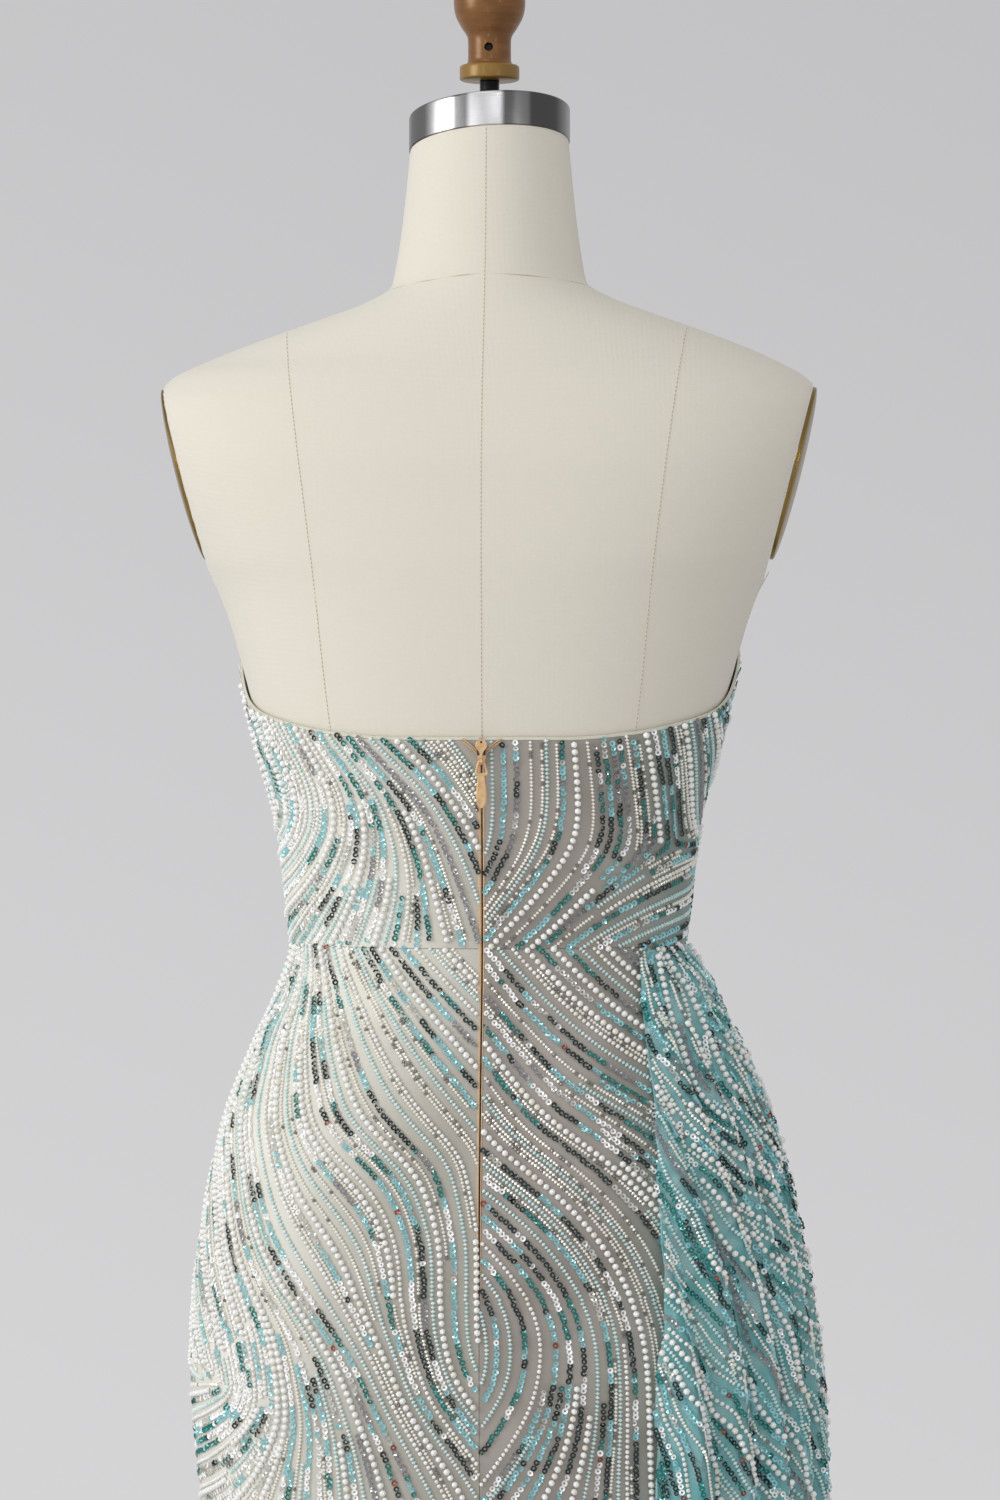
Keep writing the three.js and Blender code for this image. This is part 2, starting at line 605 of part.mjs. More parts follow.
const HUB_PROFILE = [
  [0, 0],
  [HUB.radius, 0],
  [HUB.radius, HUB.shoulder],
  [HUB.topRadius, HUB.height],
  [0, HUB.height],
];
const hub = turned(HUB_PROFILE, 24).translate(0, 0, BASE.thick + SEAM_GAP);
add('stand_hub', hub, material.black);

const poleFoot = BASE.thick + HUB.height + 2 * SEAM_GAP;
const poleLength = FORM_BOTTOM_Z - SEAM_GAP - poleFoot;
add(
  'stand_pole',
  new THREE.CylinderGeometry(POLE_RADIUS, POLE_RADIUS, poleLength, 24)
    .rotateX(Math.PI / 2)
    .translate(0, 0, poleFoot + poleLength / 2),
  material.black,
);

export default gownOnForm;
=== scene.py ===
import math

import bpy
import numpy as np
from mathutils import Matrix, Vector


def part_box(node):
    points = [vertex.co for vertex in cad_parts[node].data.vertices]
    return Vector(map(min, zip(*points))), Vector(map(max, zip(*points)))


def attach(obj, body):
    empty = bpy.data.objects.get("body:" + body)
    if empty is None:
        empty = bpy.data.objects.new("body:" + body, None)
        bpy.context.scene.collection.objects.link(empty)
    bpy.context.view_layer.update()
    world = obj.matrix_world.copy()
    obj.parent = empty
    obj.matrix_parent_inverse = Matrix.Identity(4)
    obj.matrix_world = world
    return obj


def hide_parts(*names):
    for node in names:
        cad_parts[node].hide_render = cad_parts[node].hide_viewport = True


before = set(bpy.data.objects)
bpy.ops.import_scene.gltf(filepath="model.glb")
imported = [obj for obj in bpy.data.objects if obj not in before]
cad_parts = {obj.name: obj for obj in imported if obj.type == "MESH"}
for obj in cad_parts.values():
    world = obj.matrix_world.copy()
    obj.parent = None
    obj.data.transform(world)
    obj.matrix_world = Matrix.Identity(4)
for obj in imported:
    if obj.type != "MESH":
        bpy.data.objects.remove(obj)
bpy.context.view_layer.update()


# The studio: a pale round floor under even grey light, one large soft lamp from the left, a
# smaller one above, and four small ones round the camera that make the beads glint.
# The camera stands level with the top of the zip, a little to the right of square on.
MM = 0.001
GREY_ABOVE = (0.53, 0.53, 0.54, 1)
GREY_BELOW = (0.66, 0.66, 0.67, 1)
CAMERA_DISTANCE = 3.2
CAMERA_HEIGHT = 1.18
CAMERA_TURN = math.radians(2.4)
CAMERA_SIDE = 0.0071
VIEW_HEIGHT = 0.93  # of the view at the form's axis
FLOOR_RADIUS = 4.0


def plain_material(name, colour, roughness=0.5, metallic=0.0):
    """A new material, its shader node and its node tree."""
    material = bpy.data.materials.new(name)
    material.use_nodes = True
    shader = material.node_tree.nodes["Principled BSDF"]
    shader.inputs["Base Color"].default_value = (*colour, 1)
    shader.inputs["Roughness"].default_value = roughness
    shader.inputs["Metallic"].default_value = metallic
    return material, shader, material.node_tree


def wired(tree, *links):
    """Joins shader nodes: each link is a node and its output, then a node and its input."""
    for source, output, target, entry in links:
        tree.links.new(source.outputs[output], target.inputs[entry])


floor_edge = [
    (FLOOR_RADIUS * math.cos(t), FLOOR_RADIUS * math.sin(t), 0.0)
    for t in np.linspace(0, 2 * math.pi, 128, endpoint=False)
]
floor_mesh = bpy.data.meshes.new("floor")
floor_mesh.from_pydata(floor_edge, [], [list(range(len(floor_edge)))])
floor = bpy.data.objects.new("floor", floor_mesh)
bpy.context.collection.objects.link(floor)
floor_mesh.materials.append(plain_material("floor_paint", (0.72, 0.72, 0.73), 0.7)[0])

world = bpy.data.worlds.new("studio")
world.use_nodes = True
bpy.context.scene.world = world
sky = world.node_tree.nodes.new("ShaderNodeTexCoord")
slant = world.node_tree.nodes.new("ShaderNodeVectorMath")
slant.operation = "DOT_PRODUCT"
slant.inputs[1].default_value = (-0.45, 0, -1)
fade = world.node_tree.nodes.new("ShaderNodeMapRange")
fade.inputs["From Min"].default_value = -0.19
fade.inputs["From Max"].default_value = 0.19
grey = world.node_tree.nodes.new("ShaderNodeMix")
grey.data_type = "RGBA"
grey.inputs["A"].default_value = GREY_ABOVE
grey.inputs["B"].default_value = GREY_BELOW
wired(
    world.node_tree,
    (sky, "Generated", slant, 0),
    (slant, "Value", fade, "Value"),
    (fade, "Result", grey, "Factor"),
)
backdrop = world.node_tree.nodes["Background"]
wired(
    world.node_tree,
    (grey, "Result", backdrop, "Color"),
)
bpy.context.scene.view_settings.view_transform = "Standard"


def add_lamp(name, place, aim, size, watts):
    light = bpy.data.lights.new(name, "AREA")
    light.shape = "DISK"
    light.size = size
    light.energy = watts
    lamp = bpy.data.objects.new(name, light)
    lamp.location = place
    toward = Vector(aim) - Vector(place)
    lamp.rotation_euler = toward.to_track_quat("-Z", "Y").to_euler()
    bpy.context.collection.objects.link(lamp)


add_lamp("key_lamp", (-2.6, -1.5, 1.9), (0, 0, 1.1), 1.5, 34)
add_lamp("top_lamp", (-0.6, -1.6, 3.4), (0, 0, 1.2), 1.2, 7)
GLINT_PLACES = [(-1.1, -2.8, 1.9), (0.5, -2.9, 2.3), (1.7, -2.3, 1.7), (-0.2, -2.6, 0.5)]
for number, place in enumerate(GLINT_PLACES):
    add_lamp(f"glint_lamp_{number}", place, (0, 0, 1.0), size=0.16, watts=2.2)

camera_data = bpy.data.cameras.new("camera")
camera_data.sensor_width = 36
camera_data.lens = camera_data.sensor_width * CAMERA_DISTANCE / VIEW_HEIGHT
camera = bpy.data.objects.new("camera", camera_data)
camera.location = (
    CAMERA_SIDE * math.cos(CAMERA_TURN) + CAMERA_DISTANCE * math.sin(CAMERA_TURN),
    CAMERA_SIDE * math.sin(CAMERA_TURN) - CAMERA_DISTANCE * math.cos(CAMERA_TURN),
    CAMERA_HEIGHT,
)
camera.rotation_euler = (math.radians(90), 0, CAMERA_TURN)
bpy.context.collection.objects.link(camera)
bpy.context.scene.camera = camera


# The dress form's torso: padded linen sewn in long panels over a hard shell, cut flat at the
# armholes. Its body is a stack of level sections, in millimetres, and the gown hangs on them.
FIGURE_COLUMNS = ("z", "width", "back", "front", "power", "lean", "tip")
FIGURE = [
    (12, 262, 240, 222, 2.0, 0, 0),
    (130, 236, 208, 194, 2.0, 0, 0),
    (260, 205, 172, 164, 2.0, 0, 0),
    (390, 176, 140, 133, 2.0, 0, 0),
    (500, 161, 120, 115, 2.05, 0, 0),
    (600, 161, 115, 107, 2.1, 0, 0),
    (680, 168, 118, 104, 2.15, 0, 0),
    (740, 176.5, 122, 104, 2.2, 0, 0),
    (800, 180.5, 126, 106, 2.2, 0, 0),
    (850, 178, 126, 108, 2.2, 0, 0),
    (900, 171, 122, 108, 2.2, 0, 0),
    (950, 160, 112, 105, 2.2, 0, 0),
    (1000, 140.5, 98, 99, 2.15, 0, 0),
    (1030, 126.5, 88, 94, 2.1, 0, 0),
    (1060, 119, 83, 91, 2.1, 0, 0),
    (1087, 122, 83, 93, 2.15, 0, 0),
    (1136, 127.5, 87, 101, 2.25, 0, 0),
    (1186, 141, 92, 110, 2.35, 0, 0),
    (1223, 150, 96, 114, 2.35, 0, 0),
    (1273, 165, 101, 108, 2.35, 0, 0),
    (1300, 179, 103, 101, 2.45, 0, 0),
    (1350, 201, 102, 86, 2.55, 0, 0),
    (1390, 211, 93, 71, 2.4, 0, 0),
    (1409, 198, 86, 66, 2.2, 1, 0),
    (1421, 176, 79, 62, 2.0, 2, 0.01),
    (1434, 144, 73, 59, 2.0, 3, 0.02),
    (1446, 110, 68, 58, 2.0, 4, 0.03),
    (1458, 77, 63, 57, 2.0, 5, 0.05),
    (1468, 61, 58, 55, 2.0, 6, 0.07),
    (1482, 58, 54, 53, 2.0, 8, 0.1),
    (1510, 54, 51, 51, 2.0, 10, 0.14),
    (1557.5, 49.3, 48, 48, 2.0, 14, 0.17),
]
SIDE_SHARE = 0.4
HEM_Z = 12
FORM_BOTTOM_Z = 740
WAIST_Z = 1060
NECK_TOP_Z = 1557.5
BUST = {"z": 1222, "height": 34, "angle": math.radians(35), "spread": math.radians(21), "out": 12}
FLUTES = {"count": 10, "top": 470, "depth": 14}
BACK = -math.pi / 2


def curve_through(columns, rows, along, key):
    """A smooth function through two columns of a table, with no overshoot between the rows."""
    pairs = sorted((row[columns.index(along)], row[columns.index(key)]) for row in rows)
    x, y = (np.array(side, float) for side in zip(*pairs))
    step = np.diff(y) / np.diff(x)
    slope = np.zeros(len(x))
    slope[0], slope[-1] = step[0], step[-1]
    for i in range(1, len(x) - 1):
        if step[i - 1] * step[i] > 0:
            slope[i] = 2 * step[i - 1] * step[i] / (step[i - 1] + step[i])

    def at(value):
        value = np.asarray(value, float)
        i = np.clip(np.searchsorted(x, value, side="right") - 1, 0, len(x) - 2)
        span = x[i + 1] - x[i]
        u = np.clip((value - x[i]) / span, 0, 1)
        rise = y[i] * (1 + 2 * u) * (1 - u) ** 2 + y[i + 1] * (3 - 2 * u) * u**2
        return rise + span * (slope[i] * u * (1 - u) ** 2 + slope[i + 1] * (u - 1) * u**2)

    return at


figure = {key: curve_through(FIGURE_COLUMNS, FIGURE, "z", key) for key in FIGURE_COLUMNS[1:]}


def smooth_step(value, low, high):
    u = np.clip((value - low) / (high - low), 0, 1)
    return u * u * (3 - 2 * u)


def section_point(angle, z, side, back, front):
    """A point on the section at height z, pushed out at the side, back and front."""
    c, s = np.cos(angle), np.sin(angle)
    power = figure["power"](z)
    round_share = (np.abs(c) ** power + np.abs(s) ** power) ** (-1 / power)
    x = (figure["width"](z) + side) * c * round_share
    depth = np.where(s < 0, figure["back"](z) + back, figure["front"](z) + front)
    return np.stack(np.broadcast_arrays(x, depth * s * round_share, z * 1.0), -1)


def figure_point(angle, z):
    """The outside of the form and, below it, the inside of the skirt."""
    angle, z = np.broadcast_arrays(np.asarray(angle, float), np.asarray(z, float))
    turn = np.arctan2(np.sin(angle), np.cos(angle))
    off_centre = np.abs(turn - math.pi / 2)
    off_centre = np.minimum(off_centre, 2 * math.pi - off_centre) - BUST["angle"]
    bust = ((z - BUST["z"]) / BUST["height"]) ** 2 + (off_centre / BUST["spread"]) ** 2
    out = BUST["out"] * np.exp(-bust)
    share = smooth_step(FLUTES["top"] - z, 0, FLUTES["top"] - HEM_Z)
    out = out + FLUTES["depth"] * share * np.cos(FLUTES["count"] * angle)
    point = section_point(angle, z, out, out, out)
    point[..., 1] += figure["lean"](z)
    point[..., 2] -= figure["tip"](z) * (point[..., 1] - SIDE_SHARE * point[..., 0])
    return point


def normals_of(surface, angle, z):
    """The outward normals of a surface, and its slopes along the angle and the height."""
    d = 1e-3
    across = (surface(angle + d, z) - surface(angle - d, z)) / (2 * d)
    up = surface(angle, z + 0.5) - surface(angle, z - 0.5)
    normal = np.cross(across, up)
    normal /= np.linalg.norm(normal, axis=-1, keepdims=True)
    return normal, across, up


def pushed_out(surface, angle, z, out):
    return surface(angle, z) + normals_of(surface, angle, z)[0] * out


def new_piece(name, points, faces, materials, slot, body="gown", smooth=True):
    """A mesh piece from points in millimetres, riding on a body."""
    mesh = bpy.data.meshes.new(name)
    mesh.from_pydata((np.asarray(points).reshape(-1, 3) * MM).tolist(), [], faces)
    for material in materials:
        mesh.materials.append(material)
    mesh.polygons.foreach_set("use_smooth", [smooth] * len(mesh.polygons))
    mesh.set_sharp_from_angle(angle=math.radians(40))
    piece = bpy.data.objects.new(name, mesh)
    bpy.context.collection.objects.link(piece)
    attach(piece, body)
    return piece


def ring_faces(rings, count):
    """The side faces and the two end caps of a stack of closed rings."""
    faces = []
    for r in range(rings - 1):
        for i in range(count):
            a, b = r * count + i, r * count + (i + 1) % count
            faces.append((a, b, b + count, a + count))
    faces.append(tuple(range(count))[::-1])
    faces.append(tuple(range((rings - 1) * count, rings * count)))
    return faces


ARMHOLE = {"top_x": 199.5, "top_z": 1400, "low_x": 173.3, "low_z": 1297}
armhole_tilt = math.atan2(ARMHOLE["top_x"] - ARMHOLE["low_x"], ARMHOLE["top_z"] - ARMHOLE["low_z"])
armhole_x = (ARMHOLE["top_x"] + ARMHOLE["low_x"]) / 2
armhole_z = (ARMHOLE["top_z"] + ARMHOLE["low_z"]) / 2
armhole_out = np.array([math.cos(armhole_tilt), 0, -math.sin(armhole_tilt)])


def cut_at_armholes(points):
    """Points beyond an armhole's plane move back onto it."""
    for side in (1, -1):
        out = armhole_out * (side, 1, 1)
        centre = np.array([side * armhole_x, 0, armhole_z])
        beyond = np.maximum((points - centre) @ out, 0)
        points = points - beyond[..., None] * out
    return points


TORSO_COLUMNS = 132
torso_heights = np.concatenate([
    np.linspace(FORM_BOTTOM_Z, 1280, 37)[:-1],
    np.linspace(1280, 1480, 58)[:-1],
    np.linspace(1480, NECK_TOP_Z, 9),
])
torso_angles = np.linspace(0, 2 * math.pi, TORSO_COLUMNS, endpoint=False)
torso_points = figure_point(torso_angles[None, :], torso_heights[:, None])
torso_points = cut_at_armholes(torso_points)


def srgb(red, green, blue):
    """A colour as it shows on a screen, from 0 to 255, in the shader's own measure."""
    return tuple(((value / 255 + 0.055) / 1.055) ** 2.4 for value in (red, green, blue))


def add_node(tree, kind, **values):
    """A new shader node, with its inputs and settings given by name."""
    node = tree.nodes.new(kind)
    for key, value in values.items():
        if key in node.inputs:
            node.inputs[key].default_value = value
        else:
            setattr(node, key, value)
    return node


def two_tones(tree, first, second):
    """A node that runs from one colour to another."""
    return add_node(tree, "ShaderNodeMix", data_type="RGBA", A=(*first, 1), B=(*second, 1))


def ranged(tree, side, low, high):
    """A node that maps values From or To a range."""
    return add_node(tree, "ShaderNodeMapRange", **{f"{side} Min": low, f"{side} Max": high})


linen, linen_shader, linen_tree = plain_material("linen", (0.80, 0.765, 0.675), 0.92)
linen_shader.inputs["Sheen Weight"].default_value = 0.25
linen_shader.inputs["Sheen Roughness"].default_value = 0.6
place = add_node(linen_tree, "ShaderNodeTexCoord")
slubs = add_node(linen_tree, "ShaderNodeTexNoise", Scale=9.0, Detail=6.0, Roughness=0.62)
stretch = add_node(linen_tree, "ShaderNodeMapping", Scale=(30, 30, 260))
tone = two_tones(linen_tree, (0.765, 0.72, 0.61), (0.85, 0.80, 0.69))
weft = add_node(linen_tree, "ShaderNodeTexWave", Scale=420.0, Distortion=1.5)
weft.bands_direction = "Z"
warp = add_node(linen_tree, "ShaderNodeTexWave", Scale=420.0, Distortion=1.5)
warp.bands_direction = "X"
weave = add_node(linen_tree, "ShaderNodeMath", operation="ADD")
grain = add_node(linen_tree, "ShaderNodeMath", operation="ADD")
bump = add_node(linen_tree, "ShaderNodeBump", Strength=0.35, Distance=0.0004)
wired(
    linen_tree,
    (place, "Object", stretch, "Vector"),
    (stretch, "Vector", slubs, "Vector"),
    (place, "Object", weft, "Vector"),
    (place, "Object", warp, "Vector"),
    (slubs, "Fac", tone, "Factor"),
    (tone, "Result", linen_shader, "Base Color"),
    (weft, "Fac", weave, 0),
    (warp, "Fac", weave, 1),
    (weave, "Value", grain, 0),
    (slubs, "Fac", grain, 1),
    (grain, "Value", bump, "Height"),
    (bump, "Normal", linen_shader, "Normal"),
)

torso = new_piece(
    "linen_torso",
    torso_points,
    ring_faces(len(torso_heights), TORSO_COLUMNS),
    [linen],
    "linen",
)
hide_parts("form_torso")


# The linen's seams: the panels are sewn down the centre back and front, down the sides and in
# long curves over the shoulder blades and bust, and the neck is joined on round its base.
SEAM_WIDTH = 0.6
STITCH = 2.6
SEAM_PROUD = 0.22
NECK_SEAM_Z = 1467.5
NECK_SEAM_DROP = 4.0


def ribbon_on(surface, angles, heights, width, low, high):
    """Points and faces of a narrow closed strip that follows a line on a surface."""
    angles, heights = np.broadcast_arrays(np.asarray(angles, float), np.asarray(heights, float))
    line = surface(angles, heights)
    along = np.gradient(line, axis=0)
    along /= np.linalg.norm(along, axis=-1, keepdims=True)
    normal = normals_of(surface, angles, heights)[0]
    across = np.cross(normal, along)
    across /= np.linalg.norm(across, axis=-1, keepdims=True)
    half = width / 2
    corners = [
        line + across * half + normal * low,
        line + across * half * 0.7 + normal * high,
        line - across * half * 0.7 + normal * high,
        line - across * half + normal * low,
    ]
    points = np.stack(corners, 1).reshape(-1, 3)
    return points, ring_faces(len(line), len(corners))


def joined(parts):
    """Several lots of points and faces as one."""
    points, faces, first = [], [], 0
    for some_points, some_faces in parts:
        points.append(np.asarray(some_points).reshape(-1, 3))
        faces.extend([tuple(i + first for i in face) for face in some_faces])
        first += len(points[-1])
    return np.concatenate(points), faces


SEAM_COLUMNS = ("z", "back", "front")
SEAM_PLACES = [
    (740, 104, 96),
    (900, 92, 84),
    (1060, 64, 62),
    (1189, 92, 92),
    (1300, 104, 98),
    (1400, 117, 104),
    (1438, 123, 108),
]
seam_x = {key: curve_through(SEAM_COLUMNS, SEAM_PLACES, "z", key) for key in SEAM_COLUMNS[1:]}
FRONT = math.pi / 2


def angle_at(x, z, facing):
    """The angle, on the back or the front, at which the figure is that far out to the side."""
    low, high = np.zeros(z.shape), np.full(z.shape, math.pi / 2)
    for _ in range(40):
        turn = (low + high) / 2
        beyond = np.abs(figure_point(facing + turn, z)[..., 0]) > x
        low, high = np.where(beyond, low, turn), np.where(beyond, turn, high)
    return (low + high) / 2


long_heights = np.linspace(FORM_BOTTOM_Z + 2, 1438, 180)
side_heights = np.linspace(FORM_BOTTOM_Z + 2, 1290, 120)
centre_heights = np.linspace(FORM_BOTTOM_Z + 2, NECK_TOP_Z - 1, 200)
seam_lines = [(np.full_like(centre_heights, middle), centre_heights) for middle in (BACK, FRONT)]
for key, facing in (("back", BACK), ("front", FRONT)):
    turn = angle_at(seam_x[key](long_heights), long_heights, facing)
    seam_lines += [(facing + turn, long_heights), (facing - turn, long_heights)]
seam_lines += [(np.full_like(side_heights, side), side_heights) for side in (0.0, math.pi)]
round_the_neck = np.linspace(0, 2 * math.pi, 120)
neck_heights = NECK_SEAM_Z - NECK_SEAM_DROP * np.abs(np.cos(round_the_neck))
seam_lines.append((round_the_neck, neck_heights))

seam_thread, seam_shader, seam_tree = plain_material("linen_seam", srgb(196, 184, 160), 0.95)
seam_place = add_node(seam_tree, "ShaderNodeTexCoord")
stitches = add_node(seam_tree, "ShaderNodeTexWave", Scale=0.314 / (STITCH * MM), Distortion=1.0)
stitches.bands_direction = "Z"
seam_ramp = two_tones(seam_tree, srgb(178, 164, 138), srgb(232, 225, 208))
wired(
    seam_tree,
    (seam_place, "Object", stitches, "Vector"),
    (stitches, "Fac", seam_ramp, "Factor"),
    (seam_ramp, "Result", seam_shader, "Base Color"),
)

seam_parts = []
for angles, heights in seam_lines:
    seam_parts.append(ribbon_on(figure_point, angles, heights, SEAM_WIDTH, -0.3, SEAM_PROUD))
new_piece("linen_seams", *joined(seam_parts), [seam_thread], "linen")


# The neck cap: a spun disc of brushed steel on the sloping top of the neck.
# The rod that carries the knob is screwed through it.
CAP = {"height": 21, "out": 0.8, "bevel": 1.5}
SEAM_GAP = 0.3
CAP_COLUMNS = 160

steel, steel_shader, steel_tree = plain_material("brushed_steel", (0.62, 0.62, 0.61), 0.27, 1.0)
steel_shader.inputs["Anisotropic"].default_value = 0.5
steel_place = add_node(steel_tree, "ShaderNodeTexCoord")
steel_stretch = add_node(steel_tree, "ShaderNodeMapping", Scale=(3, 3, 900))
steel_brush = add_node(steel_tree, "ShaderNodeTexNoise", Scale=2.0, Detail=5.0, Roughness=0.7)
steel_rough = ranged(steel_tree, "To", 0.2, 0.4)
steel_bump = add_node(steel_tree, "ShaderNodeBump", Strength=0.25, Distance=0.0002)
# The steel's colour runs in light and dark bands round the cap's axis: painted reflections of the studio,
# each band an angle in degrees and a brightness.
steel_round = add_node(steel_tree, "ShaderNodeTexGradient", gradient_type="RADIAL")
steel_painted_reflections = add_node(steel_tree, "ShaderNodeValToRGB")
PAINTED_REFLECTION_BANDS = [
    (-66, 0.16),
    (-50, 0.62),
    (-38, 0.6),
    (-31, 0.17),
    (-21, 0.2),
    (-16, 0.66),
    (14, 0.74),
    (19, 0.13),
    (26, 0.15),
    (31, 0.27),
    (42, 0.24),
    (46, 0.1),
    (74, 0.1),
    (96, 0.4),
    (150, 0.2),
    (200, 0.6),
    (250, 0.25),
]
for number, (turn, shade) in enumerate(PAINTED_REFLECTION_BANDS):
    spot = (0.25 + turn / 360) % 1
    stops = steel_painted_reflections.color_ramp.elements
    stop = stops[number] if number < 2 else stops.new(spot)
    stop.position = spot
    stop.color = (shade, shade, shade * 1.01, 1)
wired(
    steel_tree,
    (steel_place, "Object", steel_round, "Vector"),
    (steel_round, "Fac", steel_painted_reflections, "Fac"),
    (steel_painted_reflections, "Color", steel_shader, "Base Color"),
    (steel_place, "Object", steel_stretch, "Vector"),
    (steel_stretch, "Vector", steel_brush, "Vector"),
    (steel_brush, "Fac", steel_rough, "Value"),
    (steel_rough, "Result", steel_shader, "Roughness"),
    (steel_brush, "Fac", steel_bump, "Height"),
    (steel_bump, "Normal", steel_shader, "Normal"),
)

cap_steps = [(0.0, CAP["out"] - 0.4), (0.4, CAP["out"])]
for t in np.linspace(0, math.pi / 2, 7):
    rise = CAP["height"] - CAP["bevel"] * (1 - math.sin(t))
    cap_steps.append((rise, CAP["out"] - CAP["bevel"] * (1 - math.cos(t))))
cap_angles = np.linspace(0, 2 * math.pi, CAP_COLUMNS, endpoint=False)
cap_rings = []
for rise, out in cap_steps:
    ring = pushed_out(figure_point, cap_angles, np.float64(NECK_TOP_Z), out)
    cap_rings.append(ring + (0, 0, rise + SEAM_GAP))
cap = new_piece("neck_cap", cap_rings, ring_faces(len(cap_steps), CAP_COLUMNS), [steel], "steel")
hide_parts("form_neck_cap")


# The rod and the turned knob, a lacquered bronze finial with a cross hole through its stem.
# The rod is threaded steel, blackened. The knob is screwed down on it and held by a set screw.
ROD = {"radius": 6.2, "height": 20}
KNOB_HOLE = {"radius": 2.7, "z": 19.5, "length": 60}
neck_y = float(figure["lean"](NECK_TOP_Z))
neck_tip = float(figure["tip"](NECK_TOP_Z))
rod_foot = NECK_TOP_Z + SEAM_GAP + CAP["height"] - neck_tip * neck_y
rod_seat = rod_foot + neck_tip * ROD["radius"] * (1 + SIDE_SHARE) + SEAM_GAP
rod_top = rod_foot + ROD["height"]


def turned(profile, segments, centre):
    """Points and faces of a shape turned about a vertical axis, from radius and height pairs."""
    turn = np.linspace(0, 2 * math.pi, segments, endpoint=False)
    rings = [
        np.stack([r * np.cos(turn), r * np.sin(turn), np.full(segments, h)], -1) for r, h in profile
    ]
    return np.array(rings) + np.asarray(centre, float), ring_faces(len(profile), segments)


def rounded(points, steps):
    """A smooth line through points, leaving each of them in place."""
    points = np.asarray(points, float)
    ends = [2 * points[0] - points[1], *points, 2 * points[-1] - points[-2]]
    line = []
    for a, b, c, d in zip(ends, ends[1:], ends[2:], ends[3:]):
        for t in np.linspace(0, 1, steps, endpoint=False):
            curve = 2 * b + (c - a) * t + (2 * a - 5 * b + 4 * c - d) * t**2
            line.append(0.5 * (curve + (3 * b - a - 3 * c + d) * t**3))
    return [tuple(p) for p in line] + [tuple(points[-1])]


def bored(piece, radius, length, centre):
    """Drills a level hole through a piece, along Y."""
    turn = np.linspace(0, 2 * math.pi, 32, endpoint=False)
    ends = [
        np.stack([radius * np.cos(turn), np.full(32, y), radius * np.sin(turn)], -1)
        for y in (length / 2, -length / 2)
    ]
    drill_mesh = bpy.data.meshes.new("drill")
    points = (np.array(ends) + np.asarray(centre)).reshape(-1, 3) * MM
    drill_mesh.from_pydata(points.tolist(), [], ring_faces(2, 32))
    drill = bpy.data.objects.new("drill", drill_mesh)
    bpy.context.collection.objects.link(drill)
    cut = piece.modifiers.new("hole", "BOOLEAN")
    cut.operation = "DIFFERENCE"
    cut.solver = "EXACT"
    cut.object = drill
    settled = bpy.context.evaluated_depsgraph_get()
    holed = bpy.data.meshes.new_from_object(piece.evaluated_get(settled))
    piece.modifiers.clear()
    piece.data = holed
    bpy.data.objects.remove(drill)


black, black_shader, black_tree = plain_material("black_steel", (0.018, 0.018, 0.02), 0.4, 0.7)
black_place = add_node(black_tree, "ShaderNodeTexCoord")
black_grain = add_node(black_tree, "ShaderNodeTexNoise", Scale=350.0, Detail=4.0)
black_rough = ranged(black_tree, "To", 0.3, 0.55)
black_bump = add_node(black_tree, "ShaderNodeBump", Strength=0.15, Distance=0.0003)
wired(
    black_tree,
    (black_place, "Object", black_grain, "Vector"),
    (black_grain, "Fac", black_rough, "Value"),
    (black_rough, "Result", black_shader, "Roughness"),
    (black_grain, "Fac", black_bump, "Height"),
    (black_bump, "Normal", black_shader, "Normal"),
)

THREAD_PITCH = 1.5
thread_steps = np.arange(0, rod_top - rod_seat, THREAD_PITCH / 4)
rod_profile = [
    (ROD["radius"] - 0.35 * (i % 4 in (0, 1)), rod_seat + h) for i, h in enumerate(thread_steps)
]
rod_profile.append((ROD["radius"], rod_top))
rod = new_piece("knob_rod", *turned(rod_profile, 48, (0, neck_y, 0)), [black], "black_metal")
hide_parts("form_rod")

KNOB_COLLAR = [(17.4, 0), (18.2, 0.5), (18.6, 1.5), (18.6, 7.6), (18.3, 8.6), (17.6, 9.3)]
KNOB_STEM = [(14.4, 10.1), (13.7, 11.4), (13.4, 14), (13.4, 24), (13.9, 27.4)]
KNOB_BELL = [
    (14.9, 29.2),
    (17.4, 33),
    (21, 40),
    (22.3, 48),
    (21.4, 55),
    (18.6, 61),
    (13.5, 66),
    (7, 69.3),
    (0.5, 70.5),
]
knob_profile = rounded(KNOB_COLLAR, 3) + rounded(KNOB_STEM, 4) + rounded(KNOB_BELL, 6)
knob_foot = rod_top + SEAM_GAP

bronze, bronze_shader, bronze_tree = plain_material("lacquered_bronze", (0.2, 0.11, 0.05), 0.36, 0.15)
bronze_shader.inputs["Specular Tint"].default_value = (1, 0.7, 0.45, 1)
bronze_shader.inputs["Coat Weight"].default_value = 0.25
bronze_shader.inputs["Coat Roughness"].default_value = 0.2
bronze_place = add_node(bronze_tree, "ShaderNodeTexCoord")
bronze_stretch = add_node(bronze_tree, "ShaderNodeMapping", Scale=(25, 25, 110))
bronze_cloud = add_node(bronze_tree, "ShaderNodeTexNoise", Scale=1.6, Detail=6.0, Roughness=0.6)
bronze_tone = two_tones(bronze_tree, (0.075, 0.026, 0.006), (0.31, 0.135, 0.042))
bronze_bump = add_node(bronze_tree, "ShaderNodeBump", Strength=0.4, Distance=0.0006)
wired(
    bronze_tree,
    (bronze_place, "Object", bronze_stretch, "Vector"),
    (bronze_stretch, "Vector", bronze_cloud, "Vector"),
    (bronze_cloud, "Fac", bronze_tone, "Factor"),
)
bronze_height = add_node(bronze_tree, "ShaderNodeSeparateXYZ")
bronze_foot = ranged(bronze_tree, "From", (knob_foot + 9) * MM, (knob_foot + 10) * MM)
bronze_collar = add_node(bronze_tree, "ShaderNodeMix", data_type="RGBA")
